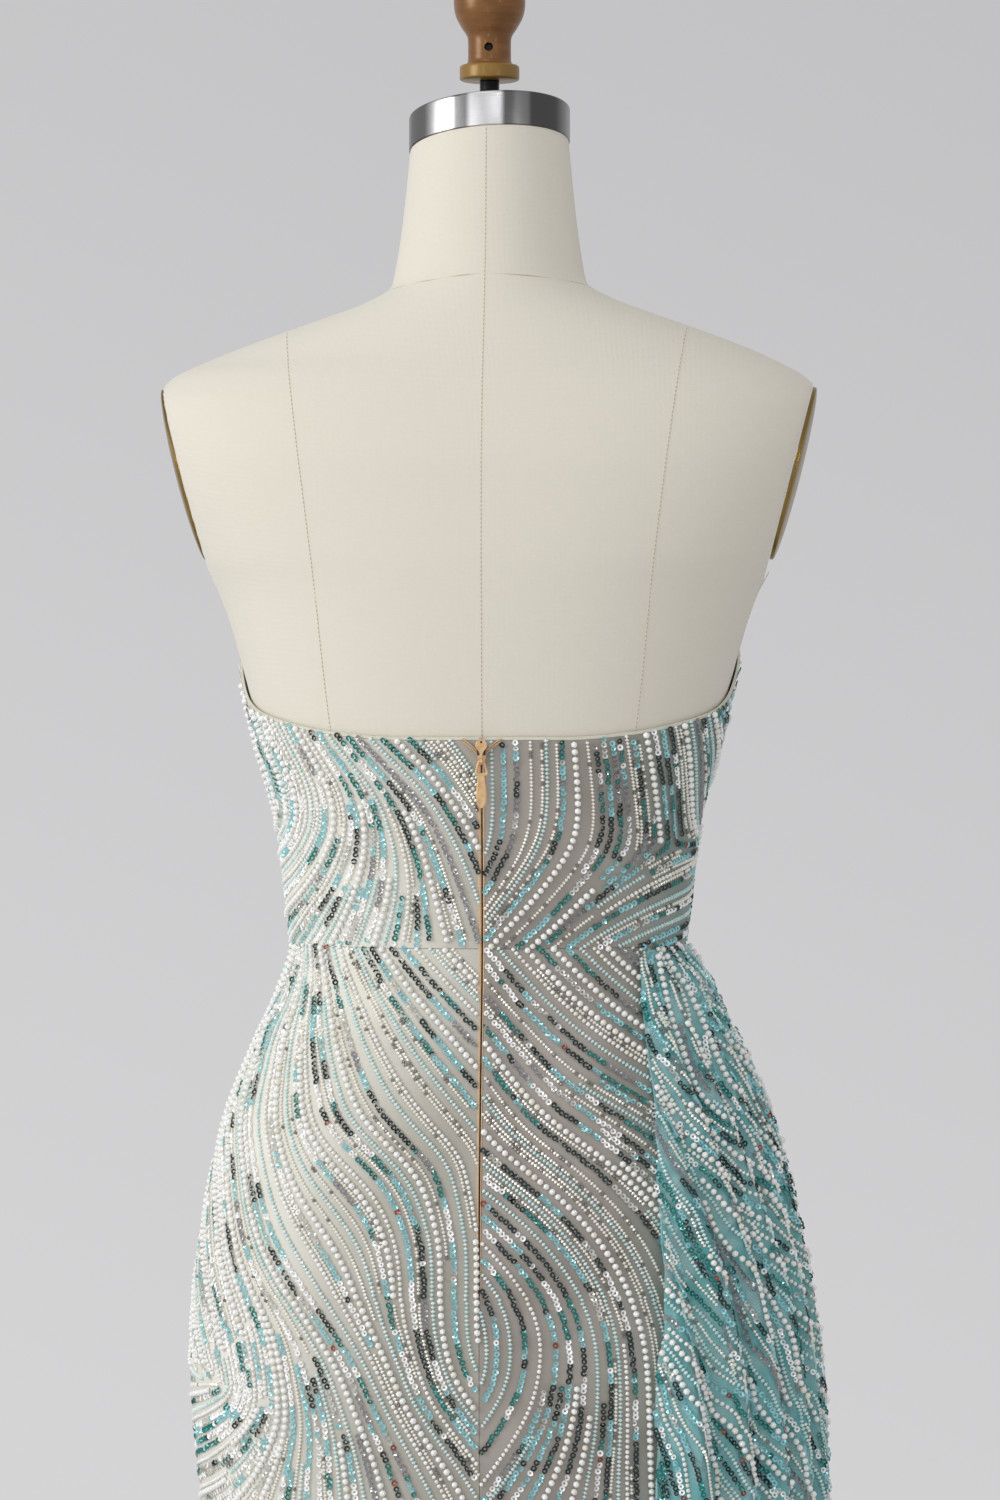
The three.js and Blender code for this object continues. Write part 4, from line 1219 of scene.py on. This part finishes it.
def drape_point(angle, z):
    angle, z = np.broadcast_arrays(np.asarray(angle, float), np.asarray(z, float))
    across = share_of_drape(angle, z)
    depth = drape["fold"](z)
    fold = depth * np.cos(2 * math.pi * DRAPE_FOLDS * across)
    fold = fold + 0.16 * depth * np.cos(2 * math.pi * 31 * across + z / 60)
    fold = fold + 0.1 * depth * np.sin(2 * math.pi * 47 * across - z / 41)
    flute = 0.5 * FLUTES["depth"] * smooth_step(FLUTES["top"] - z, 0, FLUTES["top"] - HEM_Z)
    start, end = np.radians(drape["start"](z)), np.radians(drape["end"](z))
    inward = np.minimum(angle - start, end - angle)
    close = EDGE_CLOSE + (1 - EDGE_CLOSE) * smooth_step(inward, 0, EDGE_REACH)
    side = (drape["side"](z) + fold) * close + flute
    back = (drape["back"](z) + fold) * close + flute
    front = (drape["front"](z) + fold) * close + flute
    return section_point(angle, z, side, back, front)


def drape_edge(key, sway, swing):
    """An edge of the drape, which hangs in small waves and swings to and fro."""

    def edge(z):
        wave = 0.45 * np.sin(z / 13 + sway) + 0.27 * np.sin(z / 5.7 + 2 * sway)
        wave = wave + swing * (np.sin(z / 61 + sway) + 0.4 * np.sin(z / 23))
        return np.radians(drape[key](z) + wave * smooth_step(DRAPE_TOP_Z - z, 0, 60))

    return edge


AQUA_PALE = srgb(230, 247, 249)
AQUA_DEEP = srgb(124, 204, 206)
AQUA_FAR = (0.84, 0.93, 0.92)
aqua_tulle = tulle("tulle_aqua", AQUA_PALE, AQUA_DEEP, 1.5, AQUA_FAR, (0.04, 0.3), 0.5, 48.0)
drape_panel = {
    "surface": drape_point,
    "inside": 0,
    "thick": DRAPE_CLOTH,
    "start": drape_edge("start", 0.0, 0.0),
    "end": drape_edge("end", 1.7, 2.2),
    "low": lambda angle: HEM_Z + 0 * angle,
    "high": lambda angle: DRAPE_TOP_Z + 0 * angle,
}
made = cloth_wall("side_drape_tulle", drape_panel, 216, 78, aqua_tulle, "aqua_tulle")
drape_panel["piece"], drape_panel["flat"], drape_panel["area"] = made
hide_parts("side_drape")
cloth_panels["side_drape"] = drape_panel


# The beadwork: rows of pearls, cut beads and cup sequins, stitched down through the tulle with a
# hooked needle before the gown is sewn. Each row runs smoothly beside its neighbours.
FLOWS = {  # on each panel: a place's x and z, how steeply the rows run there, and its reach
    "bodice_back_left": [
        (-132, 1172, -70, 15),
        (-128, 1150, 88, 14),
        (-126, 1128, 55, 14),
        (-122, 1100, 42, 16),
        (-104, 1178, -52, 16),
        (-98, 1150, -84, 14),
        (-100, 1122, 60, 16),
        (-104, 1086, 48, 16),
        (-76, 1172, -42, 18),
        (-74, 1140, -84, 14),
        (-78, 1110, 74, 16),
        (-82, 1078, 66, 16),
        (-46, 1162, -42, 18),
        (-48, 1128, -72, 14),
        (-50, 1100, 84, 14),
        (-54, 1076, 74, 14),
        (-20, 1150, -58, 18),
        (-26, 1110, -68, 16),
        (-20, 1080, -72, 14),
    ],
    "bodice_back_right": [
        (14, 1158, -88, 24),
        (12, 1086, 62, 22),
        (54, 1158, -86, 26),
        (46, 1108, 54, 24),
        (26, 1072, 32, 18),
        (92, 1150, -82, 26),
        (84, 1088, 26, 24),
        (120, 1092, 12, 22),
    ],
    "skirt_back_left": [
        (-120, 1036, 78, 18),
        (-86, 1038, -66, 22),
        (-38, 1030, -46, 28),
        (-132, 985, -86, 22),
        (-90, 990, -70, 22),
        (-60, 990, -60, 20),
        (-28, 980, -50, 22),
        (-124, 932, -68, 20),
        (-84, 930, -36, 20),
        (-46, 940, -40, 20),
        (-14, 912, -80, 16),
        (-48, 902, -70, 18),
        (-90, 900, -50, 18),
        (-128, 878, -58, 20),
        (-160, 896, -78, 24),
        (-112, 856, -46, 18),
        (-80, 862, -66, 16),
        (-42, 860, -89, 18),
        (-14, 858, -90, 16),
        (-26, 814, -78, 16),
        (-12, 792, -50, 14),
        (-54, 818, -66, 18),
        (-88, 826, -50, 18),
        (-124, 806, -84, 18),
        (-90, 786, -76, 18),
        (-56, 778, -60, 18),
        (-18, 766, -50, 18),
        (-132, 760, 56, 18),
        (-106, 756, 84, 16),
        (-76, 738, -88, 20),
        (-40, 736, -66, 22),
        (-158, 832, -70, 20),
        (-168, 764, 30, 22),
    ],
    "skirt_back_right": [
        (12, 1040, -50, 26),
        (62, 1030, -46, 28),
        (18, 978, -58, 24),
        (66, 966, -30, 28),
        (86, 916, -46, 28),
        (26, 912, -34, 26),
        (60, 888, -54, 26),
        (100, 866, -74, 26),
        (22, 868, -50, 22),
        (56, 846, -66, 22),
        (12, 834, -86, 16),
        (38, 810, 76, 20),
        (66, 812, -88, 22),
        (14, 778, 52, 20),
        (48, 762, 68, 24),
        (84, 778, -86, 26),
        (12, 742, 50, 22),
        (102, 744, -84, 26),
    ],
}
ROW_STEP = 2.0  # along a row, as it is marked out
ROW_LEAST = 22.0
OVER_THE_EDGE = 1.6  # how far rows run on over the seam or binding above them
FINE_ABOVE_Z = 700
FRONT_Y = 20  # the gown's front lies past this, in plainer beads
ROW_SPACING = {"drape": 4.3, "low_drape": 7.4, "low": 8.6, "bodice": 5.8, "skirt": 6.2}
CLOSER_AT_HIP = {"by": 1.9, "from": 40, "to": 130}  # as x falls towards the left hip


def waves(angle, z):
    """The slope of the rows where no flow table reaches: long waves that lean to and fro."""
    sway = 34 * np.sin(z / 58 + 2.3 * angle) + 13 * np.sin(z / 31 - 3.1 * angle + 1.0)
    return np.radians(-84 + sway)


def flow_slopes(name, panel, angle, z):
    """Twice the slope of the rows over the cloth, as a cosine and a sine."""
    middle = panel["surface"](angle, z)
    across = normals_of(panel["surface"], angle, z)[1]
    if name == "side_drape":
        d = 1e-3
        turn = (share_of_drape(angle + d, z) - share_of_drape(angle - d, z)) / (2 * d)
        fall = share_of_drape(angle, z + 0.5) - share_of_drape(angle, z - 0.5)
        wide = np.linalg.norm(across, axis=-1)
        slope = np.arctan2(turn / wide, -fall)
        slope = slope + 0.36 + 0.2 * np.sin(z / 29 + 9 * angle) + 0.12 * np.sin(z / 11 - 14 * angle)
        return np.cos(2 * slope), np.sin(2 * slope)
    slope = waves(angle, z)
    cosine, sine = 0.02 * np.cos(2 * slope), 0.02 * np.sin(2 * slope)
    facing = np.clip(np.abs(across[..., 0]) / np.linalg.norm(across, axis=-1), 0.35, 1)
    for x, height, degrees, reach in FLOWS.get(name, []):
        lean = math.radians(degrees)
        slope = np.arctan2(math.sin(lean), math.cos(lean) / facing)
        far = ((middle[..., 0] - x) ** 2 + (z - height) ** 2) / (2 * reach**2)
        share = np.exp(-far)
        cosine = cosine + share * np.cos(2 * slope)
        sine = sine + share * np.sin(2 * slope)
    size = np.hypot(cosine, sine)
    return cosine / size, sine / size


def row_spacing(name, x, y, z):
    """How far apart the rows lie: close on the drape and the left hip, wider below and in front."""
    if name == "side_drape":
        return ROW_SPACING["drape" if z > FINE_ABOVE_Z and y < FRONT_Y else "low_drape"]
    if z < FINE_ABOVE_Z or y > FRONT_Y:
        return ROW_SPACING["low"]
    hip = (-x - CLOSER_AT_HIP["from"]) / (CLOSER_AT_HIP["to"] - CLOSER_AT_HIP["from"])
    wide = ROW_SPACING["bodice" if name.startswith("bodice") else "skirt"]
    return wide - CLOSER_AT_HIP["by"] * min(max(hip, 0), 1)


class Rows:
    """Marks out rows over a panel, side by side, as shares across and up it."""

    CELL = 10.0
    COLUMNS = 80
    LEVELS = 160
    LONGEST = 600  # steps in one way along a row

    def __init__(self, name, panel):
        self.name = name
        across = np.linspace(0, 1, self.COLUMNS + 1)[:, None]
        up = np.linspace(0, 1, self.LEVELS + 1)[None, :]
        angle, z = angle_and_height(panel, across, up)
        place = pushed_out(panel["surface"], angle, z, panel["inside"] + panel["thick"])
        wide = np.gradient(place, across[:, 0], axis=0)
        tall = np.gradient(place, up[0], axis=1)
        width = np.linalg.norm(wide, axis=-1)
        skew = (wide * tall).sum(-1) / width
        rise = np.sqrt(np.maximum((tall * tall).sum(-1) - skew**2, 1e-9))
        cosine, sine = flow_slopes(name, panel, angle, z)
        layers = [*np.moveaxis(place, -1, 0), width, skew, rise, cosine, sine]
        self.table = np.stack(layers, -1).tolist()
        self.top_share = 1 + OVER_THE_EDGE / float(rise.mean())
        self.cells = {}

    def at(self, across, up):
        """The place, the cloth's stretch and the rows' slope at a share across and up."""
        i, j = across * self.COLUMNS, up * self.LEVELS
        a, b = min(int(i), self.COLUMNS - 1), min(int(j), self.LEVELS - 1)
        i, j = i - a, j - b
        p, q, r, s = (
            self.table[a][b],
            self.table[a + 1][b],
            self.table[a][b + 1],
            self.table[a + 1][b + 1],
        )
        k, l, m, n = (1 - i) * (1 - j), i * (1 - j), (1 - i) * j, i * j
        return [k * v + l * w + m * x + n * y for v, w, x, y in zip(p, q, r, s)]

    def crowded(self, cells, x, y, z, reach):
        """Whether a marked point lies nearer than a reach."""
        size = self.CELL
        a, b, c = int(x // size), int(y // size), int(z // size)
        limit = reach * reach
        for i in (a - 1, a, a + 1):
            for j in (b - 1, b, b + 1):
                for k in (c - 1, c, c + 1):
                    for px, py, pz in cells.get((i, j, k), ()):
                        if (px - x) ** 2 + (py - y) ** 2 + (pz - z) ** 2 < limit:
                            return True
        return False

    def mark(self, cells, point):
        size = self.CELL
        key = tuple(int(v // size) for v in point)
        cells.setdefault(key, []).append(point)

    def walk(self, across, up, sign, own):
        """One way along a row from a seed, until it nears another row, itself or an edge."""
        path, last, trail = [], None, []
        while len(path) < self.LONGEST:
            if not (0 <= across <= 1 and 0 <= up <= self.top_share):
                break
            x, y, z, width, skew, rise, cosine, sine = self.at(across, up)
            near = 0.66 * row_spacing(self.name, x, y, z)
            if self.crowded(self.cells, x, y, z, near):
                break
            if len(path) > 8 and self.crowded(own, x, y, z, near):
                break
            path.append((across, up, x, y, z))
            trail.append((x, y, z))
            if len(trail) > 9:
                self.mark(own, trail.pop(0))
            slope = 0.5 * math.atan2(sine, cosine)
            dx, dz = math.cos(slope), math.sin(slope)
            if last is None:
                dx, dz = sign * dx, sign * dz
            elif dx * last[0] + dz * last[1] < 0:
                dx, dz = -dx, -dz
            last = (dx, dz)
            climb = dz / rise
            across += ROW_STEP * (dx - skew * climb) / width
            up += ROW_STEP * climb
        return path

    def row_from(self, across, up):
        """A whole row through a seed, or nothing where it would be too short."""
        own = {}
        forward = self.walk(across, up, 1, own)
        back = self.walk(across, up, -1, own)
        path = back[::-1] + forward[1:]
        if len(path) * ROW_STEP < ROW_LEAST:
            return None
        for _, _, x, y, z in path:
            self.mark(self.cells, (x, y, z))
        return path

    def free(self, across, up):
        if not (0 <= across <= 1 and 0 <= up <= 1):
            return False
        x, y, z = self.at(across, up)[:3]
        return not self.crowded(self.cells, x, y, z, 0.97 * row_spacing(self.name, x, y, z))

    def all_rows(self):
        seeds = [(a, b) for b in np.linspace(0.97, 0.03, 24) for a in np.linspace(0.04, 0.96, 9)]
        rows = []
        for seed in [(0.5, 0.9), *seeds]:
            if not self.free(*seed):
                continue
            first = self.row_from(*seed)
            queue = [first] if first else []
            while queue:
                row = queue.pop(0)
                rows.append(row)
                for across, up, x, y, z in row[::4]:
                    _, _, _, width, skew, rise, cosine, sine = self.at(across, up)
                    slope = 0.5 * math.atan2(sine, cosine)
                    apart = row_spacing(self.name, x, y, z)
                    for side in (apart, -apart):
                        dx, dz = -side * math.sin(slope), side * math.cos(slope)
                        climb = dz / rise
                        beside = (across + (dx - skew * climb) / width, up + climb)
                        if self.free(*beside):
                            found = self.row_from(*beside)
                            if found:
                                queue.append(found)
        return rows

    def rows_beside(self, rows):
        """For each row, the numbers of the rows that lie next to it."""
        size, spots = self.CELL, {}
        for number, row in enumerate(rows):
            for _, _, x, y, z in row[::4]:
                key = (int(x // size), int(y // size), int(z // size))
                spots.setdefault(key, []).append((number, x, y, z))
        near = [set() for _ in rows]
        steps = [(i, j, k) for i in (-1, 0, 1) for j in (-1, 0, 1) for k in (-1, 0, 1)]
        for (a, b, c), here in spots.items():
            around = [spot for i, j, k in steps for spot in spots.get((a + i, b + j, c + k), ())]
            for number, x, y, z in here:
                reach = 1.5 * row_spacing(self.name, x, y, z)
                for other, px, py, pz in around:
                    if other != number and (px - x) ** 2 + (py - y) ** 2 + (pz - z) ** 2 < reach**2:
                        near[number].add(other)
        return near

    def beside(self, row, shift):
        """A second row close beside a row, in stretches that stay clear of other rows."""
        stretches, stretch = [], []
        for (a, b, *_), (c, d, *_) in zip(row, row[1:]):
            _, _, _, width, skew, rise, _, _ = self.at(a, b)
            dx, dz = (c - a) * width + (d - b) * skew, (d - b) * rise
            size = math.hypot(dx, dz)
            climb = shift * dx / size / rise
            spot = (a - (shift * dz / size + skew * climb) / width, b + climb)
            clear = 0 < spot[0] < 1 and 0 < spot[1] < 1
            x, y, z = self.at(*spot)[:3] if clear else (0, 0, 0)
            if clear and not self.crowded(self.cells, x, y, z, abs(shift) * 0.8):
                stretch.append((*spot, x, y, z))
            else:
                stretches.append(stretch)
                stretch = []
        stretches.append(stretch)
        return [stretch for stretch in stretches if len(stretch) > 5]


def dome(sides, levels):
    """A bead's upper shell, as rings from low to high and a top, in its own radius."""
    rings = []
    for height, radius in levels:
        turn = np.linspace(0, 2 * math.pi, sides, endpoint=False)
        ring = np.stack([radius * np.cos(turn), radius * np.sin(turn), np.full(sides, height)], -1)
        rings.append(ring)
    points = np.concatenate([*rings, [(0, 0, 1)]])
    faces = []
    for r in range(len(levels) - 1):
        for i in range(sides):
            a, b = r * sides + i, r * sides + (i + 1) % sides
            faces += [(a, b, b + sides), (a, b + sides, a + sides)]
    last = (len(levels) - 1) * sides
    faces += [(last + i, last + (i + 1) % sides, len(points) - 1) for i in range(sides)]
    return points, np.array(faces)


def cup_sequin(sides):
    """A cupped disc with a hole, whose rim stands above its hole."""
    turn = np.linspace(0, 2 * math.pi, sides, endpoint=False)
    rim = np.stack([np.cos(turn), np.sin(turn), np.full(sides, 0.18)], -1)
    hole = np.stack([0.38 * np.cos(turn), 0.38 * np.sin(turn), np.full(sides, -0.1)], -1)
    faces = []
    for i in range(sides):
        a, b = i, (i + 1) % sides
        faces += [(a, b, b + sides), (a, b + sides, a + sides)]
    return np.concatenate([rim, hole]), np.array(faces)


# Each kind of bead: its half sizes along, across and off the cloth, its pitch along the row, how
# high its middle stands, and how often a row of it comes.
BEADS = {
    "pearl": {"half": (2.1, 2.15, 2.2), "pitch": 4.5, "stand": 1.2, "often": 0.15},
    "small_pearl": {"half": (1.5, 1.5, 1.5), "pitch": 3.2, "stand": 0.8, "often": 0.07},
    "cut_bead": {"half": (0.92, 1.25, 1.2), "pitch": 2.5, "stand": 0.6, "often": 0.18},
    "crystal": {"half": (1.0, 1.15, 1.15), "pitch": 2.2, "stand": 0.55, "often": 0.11},
    "sequin": {"half": (1.85, 1.85, 1.85), "pitch": 3.15, "stand": 0.9, "often": 0.49},
}
FINE_SHAPES = {
    "pearl": dome(6, [(-0.3, 0.95), (0.5, 0.86)]),
    "small_pearl": dome(5, [(-0.3, 0.95), (0.5, 0.86)]),
    "cut_bead": dome(4, [(-0.3, 1.25), (0.66, 1.05)]),
    "crystal": dome(4, [(-0.3, 1.2), (0.6, 0.95)]),
    "sequin": cup_sequin(9),
}
PLAIN_SHAPES = {
    "pearl": dome(5, [(0.0, 1.0)]),
    "small_pearl": dome(4, [(0.0, 1.0)]),
    "cut_bead": dome(4, [(0.1, 1.2)]),
    "crystal": dome(4, [(0.1, 1.15)]),
    "sequin": cup_sequin(5),
}

FINISHES = [
    ("pearl_white", srgb(250, 249, 245), 0.22, 0.0, 0.6),
    ("pearl_ivory", srgb(240, 236, 224), 0.25, 0.0, 0.6),
    ("cut_bead_aqua", srgb(204, 234, 232), 0.3, 0.0, 0.4),
    ("cut_bead_pale", srgb(232, 244, 241), 0.3, 0.0, 0.4),
    ("crystal_silver", srgb(253, 250, 240), 0.16, 0.2, 0.5),
    # The grey crystals among the silver ones stand in for the dark holes between the beads: painted
    # shade.
    ("crystal_grey_hole_shade", srgb(136, 129, 121), 0.2, 0.3, 0.5),
    ("sequin_bottle", srgb(2, 38, 36), 0.15, 0.25, 0.5),
    ("sequin_teal", srgb(14, 124, 118), 0.17, 0.45, 0.6),
    ("sequin_aqua", srgb(150, 212, 218), 0.17, 0.3, 0.7),
    ("sequin_white", srgb(254, 254, 253), 0.2, 0.08, 0.7),
    ("sequin_lilac", srgb(150, 148, 152), 0.18, 0.45, 0.6),
    ("sequin_clear", srgb(212, 212, 206), 0.18, 0.3, 0.6),
    ("sequin_rust", srgb(150, 66, 50), 0.22, 0.4, 0.6),
]
bead_finishes = []
for finish, colour, roughness, metallic, coat in FINISHES:
    bead_finish, bead_shader, _ = plain_material(finish, colour, roughness, metallic)
    bead_shader.inputs["Coat Weight"].default_value = coat
    bead_shader.inputs["Coat Roughness"].default_value = 0.08
    bead_finishes.append(bead_finish)
finish_number = {row[0]: i for i, row in enumerate(FINISHES)}
SEQUIN_RUN = {
    "sequin_bottle": (0.27, 0.03),
    "sequin_teal": (0.2, 0.09),
    "sequin_aqua": (0.32, 0.26),
    "sequin_white": (0.13, 0.62),
    "sequin_lilac": (0.05, 0.02),
    "sequin_clear": (0.07, 0.06),
    "sequin_rust": (0.02, 0.004),
}
BEAD_COLOURS = {
    "pearl": ("pearl_white", "pearl_ivory"),
    "small_pearl": ("pearl_white", "pearl_ivory"),
    "cut_bead": ("cut_bead_pale", "cut_bead_aqua"),
    "crystal": ("crystal_silver", "crystal_grey_hole_shade"),
}
DEEP_SHARE = {"pearl": 0.15, "small_pearl": 0.3, "cut_bead": 0.7, "crystal": 0.14}


def picked(draw, choices, count):
    names, shares = zip(*choices)
    shares = np.array(shares) / sum(shares)
    return draw.choice([finish_number[n] for n in names], count, p=shares)


def colours_along(draw, kind, count, pale):
    """The finish of each bead of a row. Sequins change colour in short runs."""
    if kind != "sequin":
        light, deep = BEAD_COLOURS[kind]
        share = DEEP_SHARE[kind] * (1 - 0.7 * pale)
        return picked(draw, [(light, 1 - share), (deep, share)], count)
    runs = [(name, deep * (1 - pale) + light * pale) for name, (deep, light) in SEQUIN_RUN.items()]
    colours = []
    quiet = draw.random() < 0.06 * (1 - pale)
    while len(colours) < count:
        tint = finish_number["sequin_lilac"] if quiet else int(picked(draw, runs, 1)[0])
        length = 1 if tint == finish_number["sequin_rust"] else int(draw.integers(1, 7))
        colours += [tint] * length
    return np.array(colours[:count])


def joined_beads(name, lots):
    """One mesh of many beads. Each lot has a shape, places, three axes and finishes."""
    points, faces, finishes, first = [], [], [], 0
    for (shape, shape_faces), place, along, across, off, tint in lots:
        if not len(place):
            continue
        corners = (
            place[:, None]
            + shape[None, :, 0:1] * along[:, None]
            + shape[None, :, 1:2] * across[:, None]
            + shape[None, :, 2:3] * off[:, None]
        )
        numbers = first + np.arange(len(place))[:, None, None] * len(shape) + shape_faces[None]
        points.append(corners.reshape(-1, 3))
        faces.append(numbers.reshape(-1, 3))
        finishes.append(np.repeat(tint, len(shape_faces)))
        first += len(place) * len(shape)
    points, faces = np.concatenate(points) * MM, np.concatenate(faces)
    used, tints = np.unique(np.concatenate(finishes), return_inverse=True)
    mesh = bpy.data.meshes.new(name)
    mesh.vertices.add(len(points))
    mesh.vertices.foreach_set("co", points.astype(np.float32).ravel())
    mesh.loops.add(faces.size)
    mesh.loops.foreach_set("vertex_index", faces.astype(np.int32).ravel())
    mesh.polygons.add(len(faces))
    mesh.polygons.foreach_set("loop_start", np.arange(0, faces.size, 3, dtype=np.int32))
    for number in used:
        mesh.materials.append(bead_finishes[number])
    mesh.polygons.foreach_set("material_index", tints.astype(np.int32))
    smooth = name.startswith("pearls")
    mesh.polygons.foreach_set("use_smooth", np.full(len(faces), smooth))
    mesh.update()
    mesh.validate()
    piece = bpy.data.objects.new(name, mesh)
    bpy.context.collection.objects.link(piece)
    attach(piece, "gown")
    return piece


COMPANION_SHARE = 0.24  # of the rows, with a second row close beside
SEQUIN_LEAN = (0.22, 0.2)  # along the row: the mean and the spread, in radians
SEQUIN_TILT = (0, 0.24)
COMPANION_SHIFT = {"pearl": 3.5, "small_pearl": 2.9, "cut_bead": 2.7, "crystal": 2.6, "sequin": 3.1}
BESIDE_ITS_LIKE = {"pearl": 0.97, "small_pearl": 0.95, "cut_bead": 0.8, "crystal": 0.8, "sequin": 0.45}
PIECES_OF_BEADS = {
    "pearls": ("pearl", "small_pearl"),
    "cut_beads": ("cut_bead", "crystal"),
    "sequins": ("sequin",),
}


def beadwork(name, panel, seed):
    """All of a panel's rows, threaded with beads."""
    draw = np.random.default_rng(seed)
    kinds = list(BEADS)
    often = np.array([BEADS[kind]["often"] for kind in kinds])
    layout = Rows(name, panel)
    chosen_kinds, strands = [], []
    rows = layout.all_rows()
    for row, near in zip(rows, layout.rows_beside(rows)):
        around = {chosen_kinds[other] for other in near if other < len(chosen_kinds)}
        chances = often * [1 - BESIDE_ITS_LIKE[kind] * (kind in around) for kind in kinds]
        kind = kinds[int(draw.choice(len(kinds), p=chances / chances.sum()))]
        chosen_kinds.append(kind)
        strands.append((kind, row))
        if draw.random() < COMPANION_SHARE:
            extra = "cut_bead" if kind == "sequin" and draw.random() < 0.4 else "crystal"
            side = COMPANION_SHIFT[kind] * (1 if draw.random() < 0.5 else -1)
            strands += [(extra, stretch) for stretch in layout.beside(row, side)]
    threaded = {kind: [] for kind in kinds}
    for kind, row in strands:
        row = np.array(row)
        far = np.concatenate([[0], np.cumsum(np.linalg.norm(np.diff(row[:, 2:], axis=0), axis=1))])
        pitch = BEADS[kind]["pitch"]
        if kind == "sequin":
            pitch *= draw.uniform(0.9, 1.2)
        stops = np.arange(pitch * 0.3, far[-1] - pitch * 0.3, pitch)
        stops = stops + draw.uniform(-0.05, 0.05, len(stops)) * pitch
        ahead = stops + 0.5
        spots = [np.interp(s, far, row[:, k]) for s in (stops, ahead) for k in (0, 1)]
        pale = float(smooth_step(-row[:, 2].mean(), 45, 120))
        tints = colours_along(draw, kind, len(stops), pale)
        threaded[kind].append((np.stack(spots, -1), tints))
    pieces = []
    for group, members in PIECES_OF_BEADS.items():
        lots = []
        for kind in members:
            if not threaded[kind]:
                continue
            spots = np.concatenate([spot for spot, _ in threaded[kind]])
            tints = np.concatenate([tint for _, tint in threaded[kind]])
            bead = BEADS[kind]
            out = panel["inside"] + panel["thick"]
            here = pushed_out(panel["surface"], *angle_and_height(panel, *spots[:, :2].T), out)
            there = pushed_out(panel["surface"], *angle_and_height(panel, *spots[:, 2:].T), out)
            off = normals_of(panel["surface"], *angle_and_height(panel, *spots[:, :2].T))[0]
            along = there - here
            along /= np.linalg.norm(along, axis=-1, keepdims=True)
            across = np.cross(off, along)
            across /= np.linalg.norm(across, axis=-1, keepdims=True)
            off = np.cross(along, across)
            count = len(spots)
            size = draw.normal(1, 0.035, count)[:, None]
            if kind == "sequin":
                lean = draw.normal(*SEQUIN_LEAN, count)[:, None]
                tilt = draw.normal(*SEQUIN_TILT, count)[:, None]
                along, off = (
                    along * np.cos(lean) + off * np.sin(lean),
                    off * np.cos(lean) - along * np.sin(lean),
                )
                across, off = (
                    across * np.cos(tilt) + off * np.sin(tilt),
                    off * np.cos(tilt) - across * np.sin(tilt),
                )
            place = here + off * bead["stand"]
            long, wide, tall = bead["half"]
            fine = (here[:, 2] > FINE_ABOVE_Z) & (here[:, 1] < FRONT_Y)
            for shapes, chosen in ((FINE_SHAPES, fine), (PLAIN_SHAPES, ~fine)):
                lots.append((
                    shapes[kind],
                    place[chosen],
                    (along * size * long)[chosen],
                    (across * size * wide)[chosen],
                    (off * size * tall)[chosen],
                    tints[chosen],
                ))
        if lots:
            pieces.append(joined_beads(f"{group}_{name}", lots))
    return pieces


FIRST_SEED = 11
for seed, (name, panel) in enumerate(cloth_panels.items(), FIRST_SEED):
    panel["beads"] = beadwork(name, panel, seed)


# The stand: a round cast base with a hub screwed to it and a steel pole up inside the form.
# All of it is painted black, and the skirt hides it.
POLE_RADIUS = 15
BASE = {"radius": 180, "thick": 12, "bevel": 4}
HUB = {"radius": 36, "top_radius": 26, "shoulder": 14, "height": 40}
base_profile = [(BASE["radius"] - 0.8, 0), (BASE["radius"], 0.8)]
for t in np.linspace(0, math.pi / 2, 8):
    radius = BASE["radius"] - BASE["bevel"] * (1 - math.cos(t))
    base_profile.append((radius, BASE["thick"] - BASE["bevel"] * (1 - math.sin(t))))
base_profile.append((HUB["radius"] + 6, BASE["thick"]))
base = new_piece("base_plate", *turned(base_profile, 128, (0, 0, 0)), [black], "black_metal")
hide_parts("stand_base")

hub_foot = BASE["thick"] + SEAM_GAP
hub_profile = [(HUB["radius"] - 0.6, 0), (HUB["radius"], 0.6), (HUB["radius"], HUB["shoulder"] - 1)]
hub_profile += rounded(
    [
        (HUB["radius"] - 0.8, HUB["shoulder"]),
        ((HUB["radius"] + HUB["top_radius"]) / 2, (HUB["shoulder"] + HUB["height"]) / 2 - 3),
        (HUB["top_radius"], HUB["height"] - 1),
    ],
    6,
)
hub_profile.append((HUB["top_radius"] - 1, HUB["height"]))
hub = new_piece("pole_hub", *turned(hub_profile, 64, (0, 0, hub_foot)), [black], "black_metal")
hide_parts("stand_hub")

pole_foot = BASE["thick"] + HUB["height"] + 2 * SEAM_GAP
pole_top = FORM_BOTTOM_Z - SEAM_GAP
pole_profile = [(POLE_RADIUS, z) for z in np.linspace(pole_foot, pole_top, 12)]
pole = new_piece("pole", *turned(pole_profile, 64, (0, 0, 0)), [black], "black_metal")
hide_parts("stand_pole")
